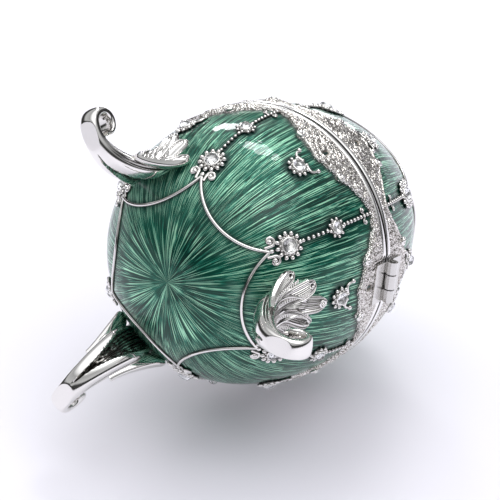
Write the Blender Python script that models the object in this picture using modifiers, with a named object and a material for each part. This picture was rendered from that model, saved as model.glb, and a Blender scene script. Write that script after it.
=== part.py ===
"""A jewelled egg trinket box: a hollow cast egg on three scroll legs, with a lid hinged at the back.

The egg's axis is vertical. Azimuths are measured from +X towards +Y, so the hinge is at 90 degrees.
Heights called h are measured up from the egg's lower pole.
"""

import math

import bmesh
import bpy
import numpy as np
from mathutils import Matrix, Vector

for old in list(bpy.data.objects):
    bpy.data.objects.remove(old, do_unlink=True)

# Driving dimensions in metres: the egg
EGG_RADIUS = 0.0325
BOWL_DEPTH = 0.0378
CROWN_HEIGHT = 0.0482
BOWL_EXPONENT = 2.36
CROWN_EXPONENT = 1.86
WALL = 0.0020
POLE_CLEARANCE = 0.0100
SEAM_RISE = 0.0040
SEAM_GAP = 0.0004
TOUCH_GAP = 0.0003
SHELL_STEPS = 24

# The rims that meet at the seam, and the lip inside that locates the lid
RIM_PROUD = 0.0006
RIM_HEIGHT = 0.0012
LIP_HEIGHT = 0.0012
LIP_WALL = 0.0008
LIP_DEPTH = 0.0026
LIP_CLEARANCE = 0.0004

# The rocaille bands: how far they reach from the seam at a chain and at a lobe, and their leaves
BAND_NARROW = 0.0036
BAND_LOBE_BOWL = 0.0112
BAND_LOBE_LID = 0.0112
BAND_LEAF = 0.0012
BAND_PROUD = 0.0005
BAND_CURL = 0.0004
BAND_SUNK = 0.0006
LEAVES = 4
BAND_ROWS = 2

# The sixfold layout of chains, rosettes and wires, with heights above the lower pole
SECTORS = 6
LEG_COUNT = 3
WIRE_RADIUS = 0.00055
WIRE_STEPS = 5
RIDGE_TILT = math.radians(12.0)
CHAIN_RADIUS = 0.00062
SCROLL_RADIUS = 0.0010
SCROLL_SPREAD = 0.0023
JOINT_RADIUS = 0.0010
BOWL_WIRE_JOINT = 0.0090
BOWL_WIRE_LOW = 0.0042
BOWL_LARGE_ROSETTE = 0.0126
BOWL_SMALL_ROSETTE = 0.0250
BOWL_PENDANT_ROSETTE = 0.0242
LID_WIRE_JOINT = 0.0632
LID_WIRE_HIGH = 0.0722
LID_LARGE_ROSETTE = 0.0593
LID_PENDANT_ROSETTE = 0.0566
LARGE_ROSETTE_RADIUS = 0.0033
PENDANT_ROSETTE_RADIUS = 0.0027
SMALL_ROSETTE_RADIUS = 0.0024
ROSETTE_PROUD = 0.0006
ROSETTE_SUNK = 0.0008
ROSETTE_PETALS = 5
ROSETTE_TAPER = 0.86
ROSETTE_WAIST = 0.12
ROSETTE_TURN = math.radians(7.0)
CRYSTAL_HEIGHT = 0.0009
CRYSTAL_SHARE = 0.48
CRYSTAL_TABLE = 0.55
CRYSTAL_SIDES = 6

# The legs; their section at stations 0 leaf tip, 1 root, 2 foot and 3 volute's end, in shares of the foot
LEG_REACH = 0.0428
LEAF_TIP = 0.0200
LEG_ROOT = 0.0120
LEG_LIFT = 0.0006
LEG_ROOT_PULL = 0.0060
LEG_FOOT_PULL = 0.0090
VOLUTE_RADIUS = 0.0031
VOLUTE_TURN = 1.5 * math.pi
VOLUTE_CLOSING = 0.6
FOOT_THICKNESS = 0.0032
FOOT_WIDTH = 0.0046
FOOT_FLAT = 0.0005
STATIONS = (0.0, 0.3, 0.7, 1.1, 1.35, 1.75, 1.9, 2.1, 3.0)
WIDTH_SHARES = (0.5, 1.0, 1.1, 1.9, 2.1, 1.3, 1.1, 1.0, 1.15)
FRONT_SHARES = (0.2, 0.5, 0.5, 0.5, 0.5, 0.45, 0.42, 0.4, 0.15)
BACK_SHARES = (0.4, 0.5, 0.5, 0.7, 1.15, 0.95, 0.65, 0.45, 0.2)

# The side leaves: the stations where they spring and end, and how far round the egg they stand there
LEAF_RINGS = 4
LEAF_THICKNESS = 0.0026
SIDE_STATIONS = (1.50, 0.45)
SIDE_SPREADS = (math.radians(3.5), math.radians(11.5))
SIDE_WIDTH = 0.0042
CURL_STATIONS = (1.55, 1.08)
CURL_SPREADS = (math.radians(6.5), math.radians(19.0))
CURL_WIDTH = 0.0034

# The hinge
HINGE_WIDTH = 0.0100
HINGE_LEAF_HEIGHT = 0.0040
HINGE_PLATE = 0.0008
KNUCKLE_RADIUS = 0.0013
KNUCKLE_MIDDLE = 0.0034
PIN_RADIUS = 0.0005
HINGE_SEAT_CUT = 0.0003

# Sizes worked out from the ones above
SEAM = BOWL_DEPTH + SEAM_RISE
SEAM_Z = POLE_CLEARANCE + SEAM
EGG_HEIGHT = BOWL_DEPTH + CROWN_HEIGHT
SECTOR = math.tau / SECTORS
BACK = math.pi / 2
FIRST_CHAIN = BACK - SECTOR / 2
SHELL_TURN = math.tau / SHELL_STEPS / 3


def egg_radius(h):
    """Outer radius at height h: a superellipse below the widest ring and another above it."""
    if h < BOWL_DEPTH:
        share, exponent = (BOWL_DEPTH - h) / BOWL_DEPTH, BOWL_EXPONENT
    else:
        share, exponent = (h - BOWL_DEPTH) / CROWN_HEIGHT, CROWN_EXPONENT
    return EGG_RADIUS * max(0.0, 1.0 - share**exponent) ** (1.0 / exponent)


def meridian(h):
    """The point (r, h) of the outer wall, its outward normal and its upward tangent, in the (r, h) plane."""
    step = EGG_HEIGHT / 20000
    low, high = max(h - step, 0.0), min(h + step, EGG_HEIGHT)
    tangent = Vector((egg_radius(high) - egg_radius(low), high - low)).normalized()
    return Vector((egg_radius(h), h)), Vector((tangent.y, -tangent.x)), tangent


HEIGHTS = np.linspace(0.0, EGG_HEIGHT, 4001)
RADII = [egg_radius(h) for h in HEIGHTS]
RUNS = np.cumsum(np.hypot(np.gradient(RADII), np.gradient(HEIGHTS)))
SEAM_RADIUS = egg_radius(SEAM)
RIM_RADIUS = SEAM_RADIUS + RIM_PROUD
PENDANT_OUT = ROSETTE_PROUD + TOUCH_GAP + CRYSTAL_HEIGHT
FRONT_REACH = max(RIM_RADIUS, egg_radius(BOWL_PENDANT_ROSETTE) + PENDANT_OUT)
AXIS_Y = (FRONT_REACH - LEG_REACH) / 2
HINGE_SEAT = SEAM_RADIUS - HINGE_SEAT_CUT
HINGE_RADIUS = HINGE_SEAT + TOUCH_GAP + HINGE_PLATE / 2 + KNUCKLE_RADIUS

parts = bpy.data.collections.new("jewelled_egg_box")
cutters = bpy.data.collections.new("cutters")
bowl_relief = bpy.data.collections.new("bowl_relief")
lid_relief = bpy.data.collections.new("lid_relief")
for collection in (parts, cutters, bowl_relief, lid_relief):
    bpy.context.scene.collection.children.link(collection)


def material(name, colour, metallic, roughness):
    made = bpy.data.materials.new(name)
    made.use_nodes = True
    shader = made.node_tree.nodes["Principled BSDF"]
    shader.inputs["Base Color"].default_value = (*colour, 1.0)
    shader.inputs["Metallic"].default_value = metallic
    shader.inputs["Roughness"].default_value = roughness
    return made


ENAMEL = material("green_enamel", (0.03, 0.22, 0.15), 0.0, 0.12)
SILVER = material("bright_silver", (0.86, 0.85, 0.83), 1.0, 0.18)
CRYSTAL = material("crystal", (0.90, 0.92, 0.93), 0.0, 0.05)


def new_object(name, mesh, collection, parent=None, matrix=None):
    made = bpy.data.objects.new(name, mesh)
    collection.objects.link(made)
    made.parent = parent
    if matrix is not None:
        made.matrix_basis = matrix
    if collection is not parts:
        made.hide_render = True
        made.display_type = "WIRE"
    return made


def mesh_from(name, bm, finish):
    bmesh.ops.recalc_face_normals(bm, faces=bm.faces)
    mesh = bpy.data.meshes.new(name)
    bm.to_mesh(mesh)
    bm.free()
    mesh.materials.append(finish)
    return mesh


def boolean(target, operation, operand):
    modifier = target.modifiers.new(operation.lower(), "BOOLEAN")
    modifier.operation = operation
    modifier.solver = "EXACT"
    if isinstance(operand, bpy.types.Collection):
        modifier.operand_type = "COLLECTION"
        modifier.collection = operand
    else:
        modifier.object = operand


def applied(source, name):
    """The mesh that an object has after its modifiers, as a mesh of its own."""
    bpy.context.view_layer.update()
    graph = bpy.context.evaluated_depsgraph_get()
    mesh = bpy.data.meshes.new_from_object(source.evaluated_get(graph), depsgraph=graph)
    mesh.name = name
    return mesh


egg_axis = new_object("egg_axis", None, parts)
egg_axis.location = (0.0, AXIS_Y, 0.0)
lid_hinge = new_object("lid_hinge", None, parts, egg_axis)
lid_hinge.location = (0.0, HINGE_RADIUS, SEAM_Z)
FROM_HINGE = Matrix.Translation((0.0, -HINGE_RADIUS, -SEAM_Z))


def on_egg(azimuth, h, lift=0.0):
    """A point on the egg's outer wall, raised along the normal, about the egg's axis and above the ground."""
    point, normal, _ = meridian(h)
    point = point + normal * lift
    return Vector((point.x * math.cos(azimuth), point.x * math.sin(azimuth), point.y + POLE_CLEARANCE))


def egg_frame(azimuth, h, lift=0.0):
    """A matrix that stands a piece on the egg: its X runs round the egg, Y up the wall and Z outwards."""
    _, normal, tangent = meridian(h)
    outward = Vector((math.cos(azimuth), math.sin(azimuth), 0.0))
    side = Vector((-math.sin(azimuth), math.cos(azimuth), 0.0))
    up = outward * tangent.x + Vector((0.0, 0.0, tangent.y))
    out = outward * normal.x + Vector((0.0, 0.0, normal.y))
    turn = Matrix((side, up, out)).transposed().to_4x4()
    return Matrix.Translation(on_egg(azimuth, h, lift)) @ turn


def turned(name, profile, finish, collection, parent, matrix=None):
    """A turned shape: a profile of (r, z) points, running down its outer side, spun about the Z axis."""
    mesh = bpy.data.meshes.new(name)
    edges = [(i, i + 1) for i in range(len(profile) - 1)]
    aside = (math.cos(SHELL_TURN), math.sin(SHELL_TURN))
    mesh.from_pydata([(r * aside[0], r * aside[1], z) for r, z in profile], edges, [])
    mesh.materials.append(finish)
    made = new_object(name, mesh, collection, parent, matrix)
    spin = made.modifiers.new("turn", "SCREW")
    spin.steps = spin.render_steps = SHELL_STEPS
    spin.use_merge_vertices = True
    spin.merge_threshold = 0.00001
    return made


# The walls of the bowl and of the lid


def bowl_heights(count):
    """Heights from the lower pole to the widest ring, closer together near the pole."""
    return [BOWL_DEPTH * (1.0 - math.cos(BACK * i / count)) for i in range(count + 1)]


def lid_heights(lowest, count):
    """Heights from the lowest one given to the upper pole, closer together near the pole."""
    start = math.asin((lowest - BOWL_DEPTH) / CROWN_HEIGHT)
    turns = [start + (BACK - start) * i / count for i in range(count + 1)]
    return [BOWL_DEPTH + CROWN_HEIGHT * math.sin(turn) for turn in turns]


def outer(h):
    return (egg_radius(h), h + POLE_CLEARANCE)


def inner(h):
    """The inside of the wall, a wall's thickness in from the outer point at height h."""
    point, normal, _ = meridian(h)
    point = point - normal * WALL
    return (max(point.x, 0.0), point.y + POLE_CLEARANCE)


SEAM_INSIDE = inner(SEAM)[0]
LIP_OUTSIDE = SEAM_INSIDE - LIP_CLEARANCE
LIP_INSIDE = LIP_OUTSIDE - LIP_WALL
BOWL_TOP = SEAM_Z - SEAM_GAP / 2
LID_BOTTOM = SEAM_Z + SEAM_GAP / 2

bowl_inside = [inner(h) for h in bowl_heights(5)]
bowl_outside = [outer(h) for h in bowl_heights(7)]
bowl_profile = (
    [(0.0, POLE_CLEARANCE + WALL)]
    + [point for point in bowl_inside[1:] if point[1] < SEAM_Z - 2 * LIP_DEPTH]
    + [(inner(SEAM - LIP_DEPTH)[0], SEAM_Z - LIP_DEPTH - LIP_WALL)]
    + [(LIP_INSIDE, SEAM_Z - LIP_DEPTH), (LIP_INSIDE, SEAM_Z + LIP_HEIGHT)]
    + [(LIP_OUTSIDE, SEAM_Z + LIP_HEIGHT), (LIP_OUTSIDE, BOWL_TOP)]
    + [(RIM_RADIUS, BOWL_TOP), (RIM_RADIUS, BOWL_TOP - RIM_HEIGHT)]
    + [(SEAM_RADIUS, BOWL_TOP - RIM_HEIGHT - RIM_PROUD)]
    + [point for point in reversed(bowl_outside[1:])]
    + [(0.0, POLE_CLEARANCE)]
)
bowl = turned("bowl", bowl_profile, ENAMEL, parts, egg_axis)

crown = lid_heights(SEAM + 2 * RIM_HEIGHT, 6)
crown_inside = lid_heights(SEAM + SEAM_GAP / 2, 5)
lid_profile = (
    [(0.0, EGG_HEIGHT + POLE_CLEARANCE)]
    + [outer(h) for h in reversed(crown[:-1])]
    + [(SEAM_RADIUS, LID_BOTTOM + RIM_HEIGHT + RIM_PROUD)]
    + [(RIM_RADIUS, LID_BOTTOM + RIM_HEIGHT), (RIM_RADIUS, LID_BOTTOM)]
    + [(SEAM_INSIDE, LID_BOTTOM)]
    + [inner(h) for h in crown_inside[1:-1]]
    + [(0.0, EGG_HEIGHT + POLE_CLEARANCE - WALL)]
)
lid = turned("lid", lid_profile, ENAMEL, parts, lid_hinge, FROM_HINGE)


# The rocaille bands: one lobe in each sector, each lobe edged with leaves


def band_reach(azimuth, lobe):
    """How far the band reaches from the seam: narrow at the chains, deep in mid-sector, with leaves."""
    share = ((azimuth - FIRST_CHAIN) / SECTOR) % 1.0
    swell = math.sin(math.pi * share) ** 1.5
    leaf = abs(math.sin(math.pi * LEAVES * share))
    return BAND_NARROW + (lobe - BAND_NARROW) * swell + BAND_LEAF * (leaf - 0.5) * swell**0.5


def band(name, side, lobe, collection, parent, matrix=None):
    """A band bent round the egg from a flat grid; side is -1 below the seam and 1 above it."""
    bm = bmesh.new()
    columns = SECTORS * LEAVES * 2
    bmesh.ops.create_grid(bm, x_segments=columns, y_segments=BAND_ROWS, size=0.5)
    for vert in bm.verts:
        along, across = vert.co.x + 0.5, vert.co.y + 0.5
        azimuth = FIRST_CHAIN + math.tau * along
        start = SEAM_GAP / 2 + RIM_HEIGHT / 2
        reach = start + (band_reach(azimuth, lobe) - start) * across
        lift = BAND_PROUD + BAND_CURL * across**3
        vert.co = on_egg(azimuth, SEAM + side * reach, lift)
    bmesh.ops.remove_doubles(bm, verts=bm.verts, dist=0.00001)
    mesh = mesh_from(name, bm, SILVER)
    made = new_object(name, mesh, collection, parent, matrix)
    thick = made.modifiers.new("thickness", "SOLIDIFY")
    thick.thickness = BAND_PROUD + BAND_CURL + BAND_SUNK
    thick.offset = -1.0


band("bowl_band", -1, BAND_LOBE_BOWL, bowl_relief, egg_axis)
band("lid_band", 1, BAND_LOBE_LID, lid_relief, lid_hinge, FROM_HINGE)


# Wires, beads, scrolls and rosettes


def ridge(name, spots, radius, collection, parent, matrix):
    """A fine raised line on the egg through (azimuth, h) spots, with a square section set on edge."""
    curve = bpy.data.curves.new(name, "CURVE")
    curve.dimensions = "3D"
    curve.bevel_depth = radius
    curve.bevel_resolution = 0
    curve.use_fill_caps = True
    line = curve.splines.new("POLY")
    line.points.add(len(spots) - 1)
    for point, (azimuth, h) in zip(line.points, spots):
        point.co = (*on_egg(azimuth, h, -radius / 4), 1.0)
        point.tilt = RIDGE_TILT
    guide = new_object(name + "_guide", curve, collection, parent, matrix)
    mesh = applied(guide, name)
    place = guide.matrix_basis.copy()
    bpy.data.objects.remove(guide, do_unlink=True)
    bm = bmesh.new()
    bm.from_mesh(mesh)
    bmesh.ops.remove_doubles(bm, verts=bm.verts, dist=0.00001)
    bmesh.ops.recalc_face_normals(bm, faces=bm.faces)
    bm.to_mesh(mesh)
    bm.free()
    new_object(name, mesh, collection, parent, place)


def wire(name, first, joint, tip, collection, parent, matrix):
    """A wire from joint to joint over a sector: a circle's arc on the wall rolled flat, bowed to its tip."""
    pole = RUNS[-1] if tip > BOWL_DEPTH else 0.0
    far, near = abs(np.interp((joint, tip), HEIGHTS, RUNS) - pole)
    half_chord, chord_at = far * math.sin(SECTOR / 2), far * math.cos(SECTOR / 2)
    centre = (far**2 - near**2) / (2 * (chord_at - near))
    radius = centre - near
    reach = math.asin(half_chord / radius)
    spots = []
    for i in range(WIRE_STEPS + 1):
        turn = reach * (2 * i / WIRE_STEPS - 1)
        x, y = radius * math.sin(turn), centre - radius * math.cos(turn)
        run = abs(pole - math.hypot(x, y))
        spots.append((first + SECTOR / 2 + math.atan2(x, y), float(np.interp(run, RUNS, HEIGHTS))))
    ridge(name, spots, WIRE_RADIUS, collection, parent, matrix)


def chain(name, azimuth, start, end, collection, parent, matrix):
    """A chain up one meridian, as the line that its beads make."""
    spots = [(azimuth, start + (end - start) * i / 3) for i in range(4)]
    ridge(name, spots, CHAIN_RADIUS, collection, parent, matrix)


def drop_mesh(name, radius, sides):
    """A drop of metal: a blunt cone that widens into the wall, so that nothing of it overhangs."""
    bm = bmesh.new()
    depth = 2 * radius
    bmesh.ops.create_cone(
        bm, cap_ends=True, segments=sides, radius1=1.5 * radius, radius2=radius / 2, depth=depth
    )
    return mesh_from(name, bm, SILVER)


JOINT = drop_mesh("wire_joint", JOINT_RADIUS, 4)
SCROLL = drop_mesh("scroll", SCROLL_RADIUS, 4)


def rosette_mesh(name, radius):
    """A low flower: a round boss whose rim is drawn in between its petals."""
    bm = bmesh.new()
    depth = ROSETTE_PROUD + ROSETTE_SUNK
    top = radius * ROSETTE_TAPER
    bmesh.ops.create_cone(
        bm, cap_ends=True, segments=2 * ROSETTE_PETALS, radius1=radius, radius2=top, depth=depth
    )
    for vert in bm.verts:
        turn = math.atan2(vert.co.y, vert.co.x)
        waist = 1.0 - ROSETTE_WAIST * (1.0 - math.cos(ROSETTE_PETALS * turn))
        vert.co.x *= waist
        vert.co.y *= waist
        vert.co.z += depth / 2 - ROSETTE_SUNK
    return mesh_from(name, bm, SILVER)


def crystal_mesh(name, radius):
    """A cut stone: a faceted crown with a flat table, standing on its girdle."""
    bm = bmesh.new()
    table = radius * CRYSTAL_TABLE
    bmesh.ops.create_cone(
        bm, cap_ends=True, segments=CRYSTAL_SIDES, radius1=radius, radius2=table, depth=CRYSTAL_HEIGHT
    )
    bmesh.ops.translate(bm, vec=(0.0, 0.0, CRYSTAL_HEIGHT / 2), verts=bm.verts)
    return mesh_from(name, bm, CRYSTAL)


KINDS = {
    "large": LARGE_ROSETTE_RADIUS,
    "small": SMALL_ROSETTE_RADIUS,
    "pendant": PENDANT_ROSETTE_RADIUS,
}
ROSETTES = {kind: rosette_mesh(kind + "_rosette", radius) for kind, radius in KINDS.items()}
CRYSTALS = {kind: crystal_mesh(kind + "_crystal", radius * CRYSTAL_SHARE) for kind, radius in KINDS.items()}


def rosette(half, kind, number, azimuth, h, collection, parent, matrix):
    """A rosette cast on the egg, and the crystal that is set on it."""
    seat = matrix @ egg_frame(azimuth, h) @ Matrix.Rotation(ROSETTE_TURN, 4, "Z")
    new_object(f"{half}_{kind}_rosette_{number}", ROSETTES[kind], collection, parent, seat)
    stone = matrix @ egg_frame(azimuth, h, ROSETTE_PROUD + TOUCH_GAP)
    new_object(f"{half}_crystal_{kind}_{number}", CRYSTALS[kind], parts, parent, stone)


def wire_joint(azimuth, h, collection, parent, matrix):
    """The drop of metal where two wires meet."""
    new_object("wire_joint", JOINT, collection, parent, matrix @ egg_frame(azimuth, h))


def scrolls(azimuth, h, spread, collection, parent, matrix):
    """A pair of little scrolls, one on each side of a meridian."""
    for side in (-1, 1):
        turn = side * spread / egg_radius(h)
        place = matrix @ egg_frame(azimuth + turn, h)
        new_object("scroll", SCROLL, collection, parent, place)


STAY = Matrix.Identity(4)
for number in range(SECTORS):
    line = FIRST_CHAIN + SECTOR * number
    middle = line + SECTOR / 2
    label = number + 1
    here = (bowl_relief, egg_axis, STAY)
    wire(f"bowl_wire_{label}", line, BOWL_WIRE_JOINT, BOWL_WIRE_LOW, *here)
    wire_joint(line, BOWL_WIRE_JOINT - JOINT_RADIUS / 2, *here)
    scrolls(line, BOWL_WIRE_JOINT, SCROLL_SPREAD, *here)
    rosette("bowl", "large", label, line, BOWL_LARGE_ROSETTE, *here)
    rosette("bowl", "small", label, line, BOWL_SMALL_ROSETTE, *here)
    rosette("bowl", "pendant", label, middle, BOWL_PENDANT_ROSETTE, *here)
    chain(f"bowl_low_chain_{label}", line, BOWL_LARGE_ROSETTE, BOWL_SMALL_ROSETTE, *here)
    chain(f"bowl_high_chain_{label}", line, BOWL_SMALL_ROSETTE, SEAM - BAND_NARROW, *here)

    here = (lid_relief, lid_hinge, FROM_HINGE)
    wire(f"lid_wire_{label}", line, LID_WIRE_JOINT, LID_WIRE_HIGH, *here)
    wire_joint(line, LID_WIRE_JOINT + JOINT_RADIUS / 2, *here)
    scrolls(line, LID_WIRE_JOINT, SCROLL_SPREAD, *here)
    rosette("lid", "large", label, line, LID_LARGE_ROSETTE, *here)
    rosette("lid", "pendant", label, middle, LID_PENDANT_ROSETTE, *here)
    chain(f"lid_chain_{label}", line, SEAM + BAND_NARROW, LID_LARGE_ROSETTE, *here)


# The legs: an acanthus leaf lying on the egg, a shank that sweeps out, and a foot rolled into a volute

VOLUTE_Z = VOLUTE_RADIUS + FOOT_THICKNESS / 2 - FOOT_FLAT
OUTER_SHARE = BACK / VOLUTE_TURN
OUTER_BACK = np.interp(2.0 + OUTER_SHARE, STATIONS, BACK_SHARES) * FOOT_THICKNESS
VOLUTE_SIDE = VOLUTE_RADIUS * (1.0 - VOLUTE_CLOSING * OUTER_SHARE**1.5) + OUTER_BACK
VOLUTE_R = LEG_REACH - VOLUTE_SIDE


def shank_point(t):
    """The shank's middle line (r, z): a Bezier curve that leaves along the wall and lands level."""
    root, normal, tangent = meridian(LEG_ROOT)
    start = np.array(root + normal * LEG_LIFT) + (0.0, POLE_CLEARANCE)
    leave = start - np.array(tangent) * LEG_ROOT_PULL
    foot = np.array((VOLUTE_R, VOLUTE_Z - VOLUTE_RADIUS))
    arrive = foot - (LEG_FOOT_PULL, 0.0)
    weights = ((1 - t) ** 3, 3 * t * (1 - t) ** 2, 3 * t * t * (1 - t), t**3)
    return sum(w * p for w, p in zip(weights, (start, leave, arrive, foot)))


def leg_spine(leaf_rings, shank_rings, volute_rings):
    """Points (r, z) down the middle of a leg, with the station of each."""
    points, stations = [], []
    for i in range(leaf_rings):
        share = i / leaf_rings
        point, normal, _ = meridian(LEAF_TIP + (LEG_ROOT - LEAF_TIP) * share)
        point = point + normal * LEG_LIFT
        points.append((point.x, point.y + POLE_CLEARANCE))
        stations.append(share)
    for i in range(shank_rings):
        t = i / shank_rings
        points.append(shank_point(t))
        stations.append(1.0 + t)
    for i in range(volute_rings + 1):
        t = i / volute_rings
        turn = -BACK + VOLUTE_TURN * t
        reach = VOLUTE_RADIUS * (1.0 - VOLUTE_CLOSING * t**1.5)
        points.append((VOLUTE_R + reach * math.cos(turn), VOLUTE_Z + reach * math.sin(turn)))
        stations.append(2.0 + t)
    return np.array(points), np.array(stations)


def loft(name, rings):
    """A closed solid through rings of points, one vertex row to a ring, capped at both ends."""
    bm = bmesh.new()
    rows = [[bm.verts.new(point) for point in ring] for ring in rings]
    for near, far in zip(rows, rows[1:]):
        for i in range(len(near)):
            j = (i + 1) % len(near)
            bm.faces.new((near[i], near[j], far[j], far[i]))
    bm.faces.new(rows[0])
    bm.faces.new(rows[-1])
    return mesh_from(name, bm, SILVER)


def front_of(points):
    """The direction square to the middle line, towards the leg's front, at each of its points."""
    along = np.gradient(points, axis=0)
    along /= np.linalg.norm(along, axis=1)[:, None]
    return np.stack((-along[:, 1], along[:, 0]), axis=1)


def shank():
    """The spine's section: three ridges and two flutes on the front, and a smooth round back."""
    points, stations = leg_spine(3, 5, 5)
    front = front_of(points)
    across = np.array((-1.0, -2 / 3, -1 / 3, 0.0, 1 / 3, 2 / 3, 1.0, 0.6, -0.6))
    ridge = (1.0 - across**2) ** 0.3 * (0.62 + 0.38 * np.cos(3 * math.pi * across))
    round_back = -((1.0 - across**2) ** 0.25)
    is_front = np.arange(across.size) < 7
    half = np.interp(stations, STATIONS, WIDTH_SHARES) * FOOT_WIDTH / 2
    rise = np.interp(stations, STATIONS, FRONT_SHARES) * FOOT_THICKNESS
    fall = np.interp(stations, STATIONS, BACK_SHARES) * FOOT_THICKNESS
    depth = np.where(is_front, ridge * rise[:, None], round_back * fall[:, None])
    x = half[:, None] * across
    y = points[:, :1] + front[:, :1] * depth
    z = points[:, 1:] + front[:, 1:] * depth
    return loft("leg_shank", np.stack((x, y, z), axis=2).tolist())


def leaf(name, side, ends, spreads, width):
    """A side lobe: a gutter along the leg's middle line, turned about the egg's axis, most at its tip."""
    across = np.array((-0.9, 0.0, 0.9, 0.7, -0.7))
    raised = np.array((0.5, 0.25, 0.5, -0.4, -0.4)) * LEAF_THICKNESS
    points, stations = leg_spine(12, 24, 6)
    front = front_of(points)
    share = np.linspace(0.0, 1.0, LEAF_RINGS)
    here = ends[0] + (ends[1] - ends[0]) * share
    turn = (side * (spreads[0] + (spreads[1] - spreads[0]) * share**1.3))[:, None]
    swell = (np.sin(math.pi * (0.25 + 0.68 * share)) ** 0.7)[:, None]
    depth = raised * swell + (LEAF_THICKNESS / 4 * (1.0 - share))[:, None]
    r, z, out, up = (np.interp(here, stations, column)[:, None] for column in (*points.T, *front.T))
    x, r, z = across * swell * width / 2, r + out * depth, z + up * depth
    ring = (x * np.cos(turn) - r * np.sin(turn), x * np.sin(turn) + r * np.cos(turn), z)
    return loft(name, np.stack(ring, axis=2).tolist())


leg_pieces = bpy.data.collections.new("leg_pieces")
bpy.context.scene.collection.children.link(leg_pieces)
for side in (-1, 1):
    lobe = leaf("side_leaf", side, SIDE_STATIONS, SIDE_SPREADS, SIDE_WIDTH)
    new_object("side_leaf", lobe, leg_pieces, egg_axis)
    curl = leaf("curl_leaf", side, CURL_STATIONS, CURL_SPREADS, CURL_WIDTH)
    new_object("curl_leaf", curl, leg_pieces, egg_axis)

keep_off = [outer(h) for h in bowl_heights(7)]
keep_off = [(r + TOUCH_GAP, z) for r, z in reversed(keep_off[1:])]
egg_cutter = turned(
    "egg_cutter",
    [(0.0, keep_off[0][1])] + keep_off + [(0.0, POLE_CLEARANCE - TOUCH_GAP)],
    SILVER,
    cutters,
    egg_axis,
)


def block(bm, low, high):
    """A box from its lowest to its highest corner."""
    low, high = Vector(low), Vector(high)
    place = Matrix.Translation((low + high) / 2) @ Matrix.Diagonal((*(high - low), 1.0))
    bmesh.ops.create_cube(bm, size=1.0, matrix=place)


def rod(bm, radius, start, end, sides=10):
    """A round bar along X, on the hinge axis, from one x to another."""
    turn = Matrix.Rotation(BACK, 4, "Y")
    place = Matrix.Translation(((start + end) / 2, HINGE_RADIUS, SEAM_Z)) @ turn
    bmesh.ops.create_cone(
        bm, cap_ends=True, segments=sides, radius1=radius, radius2=radius, depth=end - start, matrix=place
    )


def helper(name, build, collection):
    bm = bmesh.new()
    build(bm)
    return new_object(name, mesh_from(name, bm, SILVER), collection, egg_axis)


GROUND = 2 * LEG_REACH
ground_cutter = helper(
    "ground_cutter", lambda bm: block(bm, (-GROUND, -GROUND, -GROUND), (GROUND, GROUND, 0.0)), cutters
)
leg_blank = new_object("leg_blank", shank(), cutters, egg_axis)
boolean(leg_blank, "UNION", leg_pieces)
boolean(leg_blank, "DIFFERENCE", egg_cutter)
boolean(leg_blank, "DIFFERENCE", ground_cutter)
leg_mesh = applied(leg_blank, "leg")
for number, name in enumerate(("leg_back", "leg_left", "leg_right")):
    turn = Matrix.Rotation(math.tau * number / LEG_COUNT, 4, "Z")
    new_object(name, leg_mesh, parts, egg_axis, turn)


# The hinge: two leaves that sit in a pocket across the seam, their knuckles, and the pin

HALF_HINGE = HINGE_WIDTH / 2
POCKET_HEIGHT = KNUCKLE_RADIUS + HINGE_LEAF_HEIGHT + TOUCH_GAP
PLATE_IN = HINGE_SEAT + TOUCH_GAP
PLATE_OUT = PLATE_IN + HINGE_PLATE
PLATE_START = KNUCKLE_RADIUS + TOUCH_GAP
PLATE_END = KNUCKLE_RADIUS + HINGE_LEAF_HEIGHT
HALF_MIDDLE = KNUCKLE_MIDDLE / 2
TAB_INSET = HINGE_PLATE / 8
OUTER_KNUCKLES = ((-HALF_HINGE, -HALF_MIDDLE - TOUCH_GAP), (HALF_MIDDLE + TOUCH_GAP, HALF_HINGE))
MIDDLE_KNUCKLE = ((-HALF_MIDDLE, HALF_MIDDLE),)


def pocket(bm):
    reach = HALF_HINGE + TOUCH_GAP
    block(
        bm,
        (-reach, HINGE_SEAT, SEAM_Z - POCKET_HEIGHT),
        (reach, HINGE_RADIUS + 2 * KNUCKLE_RADIUS, SEAM_Z + POCKET_HEIGHT),
    )


def hinge_leaf(name, side, knuckles, parent, matrix=None):
    """A plate on one side of the seam, with a tab and a bored knuckle for each stretch given."""
    pieces = bpy.data.collections.new(name + "_pieces")
    bpy.context.scene.collection.children.link(pieces)
    for number, (start, end) in enumerate(knuckles):
        ends = sorted((SEAM_Z, SEAM_Z + side * (PLATE_START + HINGE_PLATE)))
        low = (start + TAB_INSET, PLATE_IN + TAB_INSET, ends[0])
        high = (end - TAB_INSET, PLATE_OUT - TAB_INSET, ends[1])
        helper(f"{name}_tab_{number}", lambda bm: block(bm, low, high), pieces)
        helper(f"{name}_knuckle_{number}", lambda bm: rod(bm, KNUCKLE_RADIUS, start, end), pieces)
    bm = bmesh.new()
    ends = sorted((SEAM_Z + side * PLATE_START, SEAM_Z + side * PLATE_END))
    block(bm, (-HALF_HINGE, PLATE_IN, ends[0]), (HALF_HINGE, PLATE_OUT, ends[1]))
    made = new_object(name, mesh_from(name, bm, SILVER), parts, parent, matrix)
    boolean(made, "UNION", pieces)
    boolean(made, "DIFFERENCE", pin_bore)


BORE_RADIUS = PIN_RADIUS + TOUCH_GAP
pin_bore = helper(
    "pin_bore", lambda bm: rod(bm, BORE_RADIUS, -HINGE_WIDTH, HINGE_WIDTH, 8), cutters
)
hinge_leaf("hinge_leaf_bowl", -1, OUTER_KNUCKLES, egg_axis)
hinge_leaf("hinge_leaf_lid", 1, MIDDLE_KNUCKLE, lid_hinge, FROM_HINGE)

pin_mesh = bmesh.new()
PIN_END = HALF_HINGE + TOUCH_GAP
rod(pin_mesh, PIN_RADIUS, -PIN_END, PIN_END, 8)
new_object("hinge_pin", mesh_from("hinge_pin", pin_mesh, SILVER), parts, egg_axis)

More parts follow.
